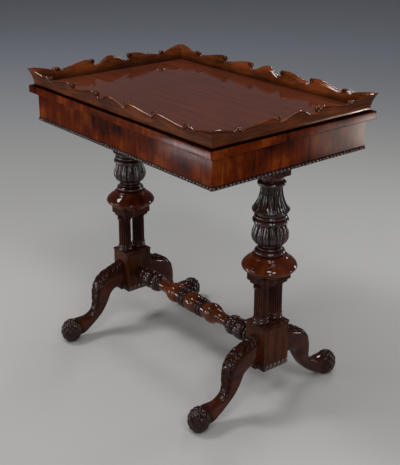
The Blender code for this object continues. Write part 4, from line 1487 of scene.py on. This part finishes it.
# The top board's arrises are rounded this much more than those of the blocks
BOARD_SOFTNESS = 1.4
# Finishes of the solids that are shown as they are, by the start of their names
KEPT_FINISHES = {
    "frieze_": "veneer", "tray_floor": "tray", "corner_block_": "secondary", "bearer_": "secondary",
    "tie_dowel_": "secondary", "cap_screw_": "iron",
}


class WORKTABLE_OT_boards(Operator):
    """Soften the top board and polish the boards, rails, dowels and screws of the frame"""

    bl_idname = "worktable.boards"
    bl_label = "Boards and rails"

    def execute(self, context):
        rounding = context.scene.work_table_sizes.edge_round
        low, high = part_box("top_board")
        size = high - low
        edge = rounding * BOARD_SOFTNESS
        margin = [(high.z, SHADOW_BAND_WIDTH), (high.z, SHADOW_BAND_WIDTH * MARGIN_END)]
        levels = block_levels(low.z, high.z, edge) + margin
        board = block_piece("polished_top_board", (low + high) / 2, size.x, size.y, levels, edge)
        field = [half - SHADOW_BAND_WIDTH * (1 + MARGIN_END) / 2 for half in size.xy / 2]
        in_shadow_band = [
            float(place.z > high.z - MERGE * 10 and (abs(place.x) > field[0] or abs(place.y) > field[1]))
            for place in (vertex.co for vertex in board.data.vertices)
        ]
        # The band is painted shadow under the tray's gallery. It is marked as carved only so that the veneer
        # darkens it
        add_attribute(board, "carved", in_shadow_band)
        settle(board, "table", ["top_board"], finish_for(context, "veneer"))
        for name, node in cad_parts.items():
            for start, finish in KEPT_FINISHES.items():
                if name.startswith(start):
                    for slot in node.material_slots:
                        slot.material = finish_for(context, finish)
        return {"FINISHED"}


class WORKTABLE_PT_panel(Panel):
    """Lists the steps of dressing the table"""

    bl_idname = "WORKTABLE_PT_panel"
    bl_label = "Work Table"
    bl_space_type = "VIEW_3D"
    bl_region_type = "UI"
    bl_category = "Work Table"

    def draw(self, context):
        for operator in OPERATORS:
            self.layout.operator(operator.bl_idname)
        for settings in (context.scene.work_table_sizes, context.scene.work_table_colours):
            box = self.layout.box()
            for key in settings.__annotations__:
                box.prop(settings, key)


OPERATORS = (
    WORKTABLE_OT_stage,
    WORKTABLE_OT_shafts,
    WORKTABLE_OT_buns,
    WORKTABLE_OT_colonettes,
    WORKTABLE_OT_blocks,
    WORKTABLE_OT_gadroons,
    WORKTABLE_OT_stretcher,
    WORKTABLE_OT_legs,
    WORKTABLE_OT_beads,
    WORKTABLE_OT_gallery,
    WORKTABLE_OT_boards,
)
CLASSES = (WorkTableSizes, WorkTableColours, *OPERATORS, WORKTABLE_PT_panel)


def register():
    for entry in CLASSES:
        bpy.utils.register_class(entry)
    bpy.types.Scene.work_table_sizes = PointerProperty(type=WorkTableSizes)
    bpy.types.Scene.work_table_colours = PointerProperty(type=WorkTableColours)


def unregister():
    del bpy.types.Scene.work_table_sizes
    del bpy.types.Scene.work_table_colours
    for entry in reversed(CLASSES):
        bpy.utils.unregister_class(entry)


def main():
    register()
    for operator in OPERATORS:
        group, name = operator.bl_idname.split(".")
        getattr(getattr(bpy.ops, group), name)()


if __name__ == "__main__":
    main()
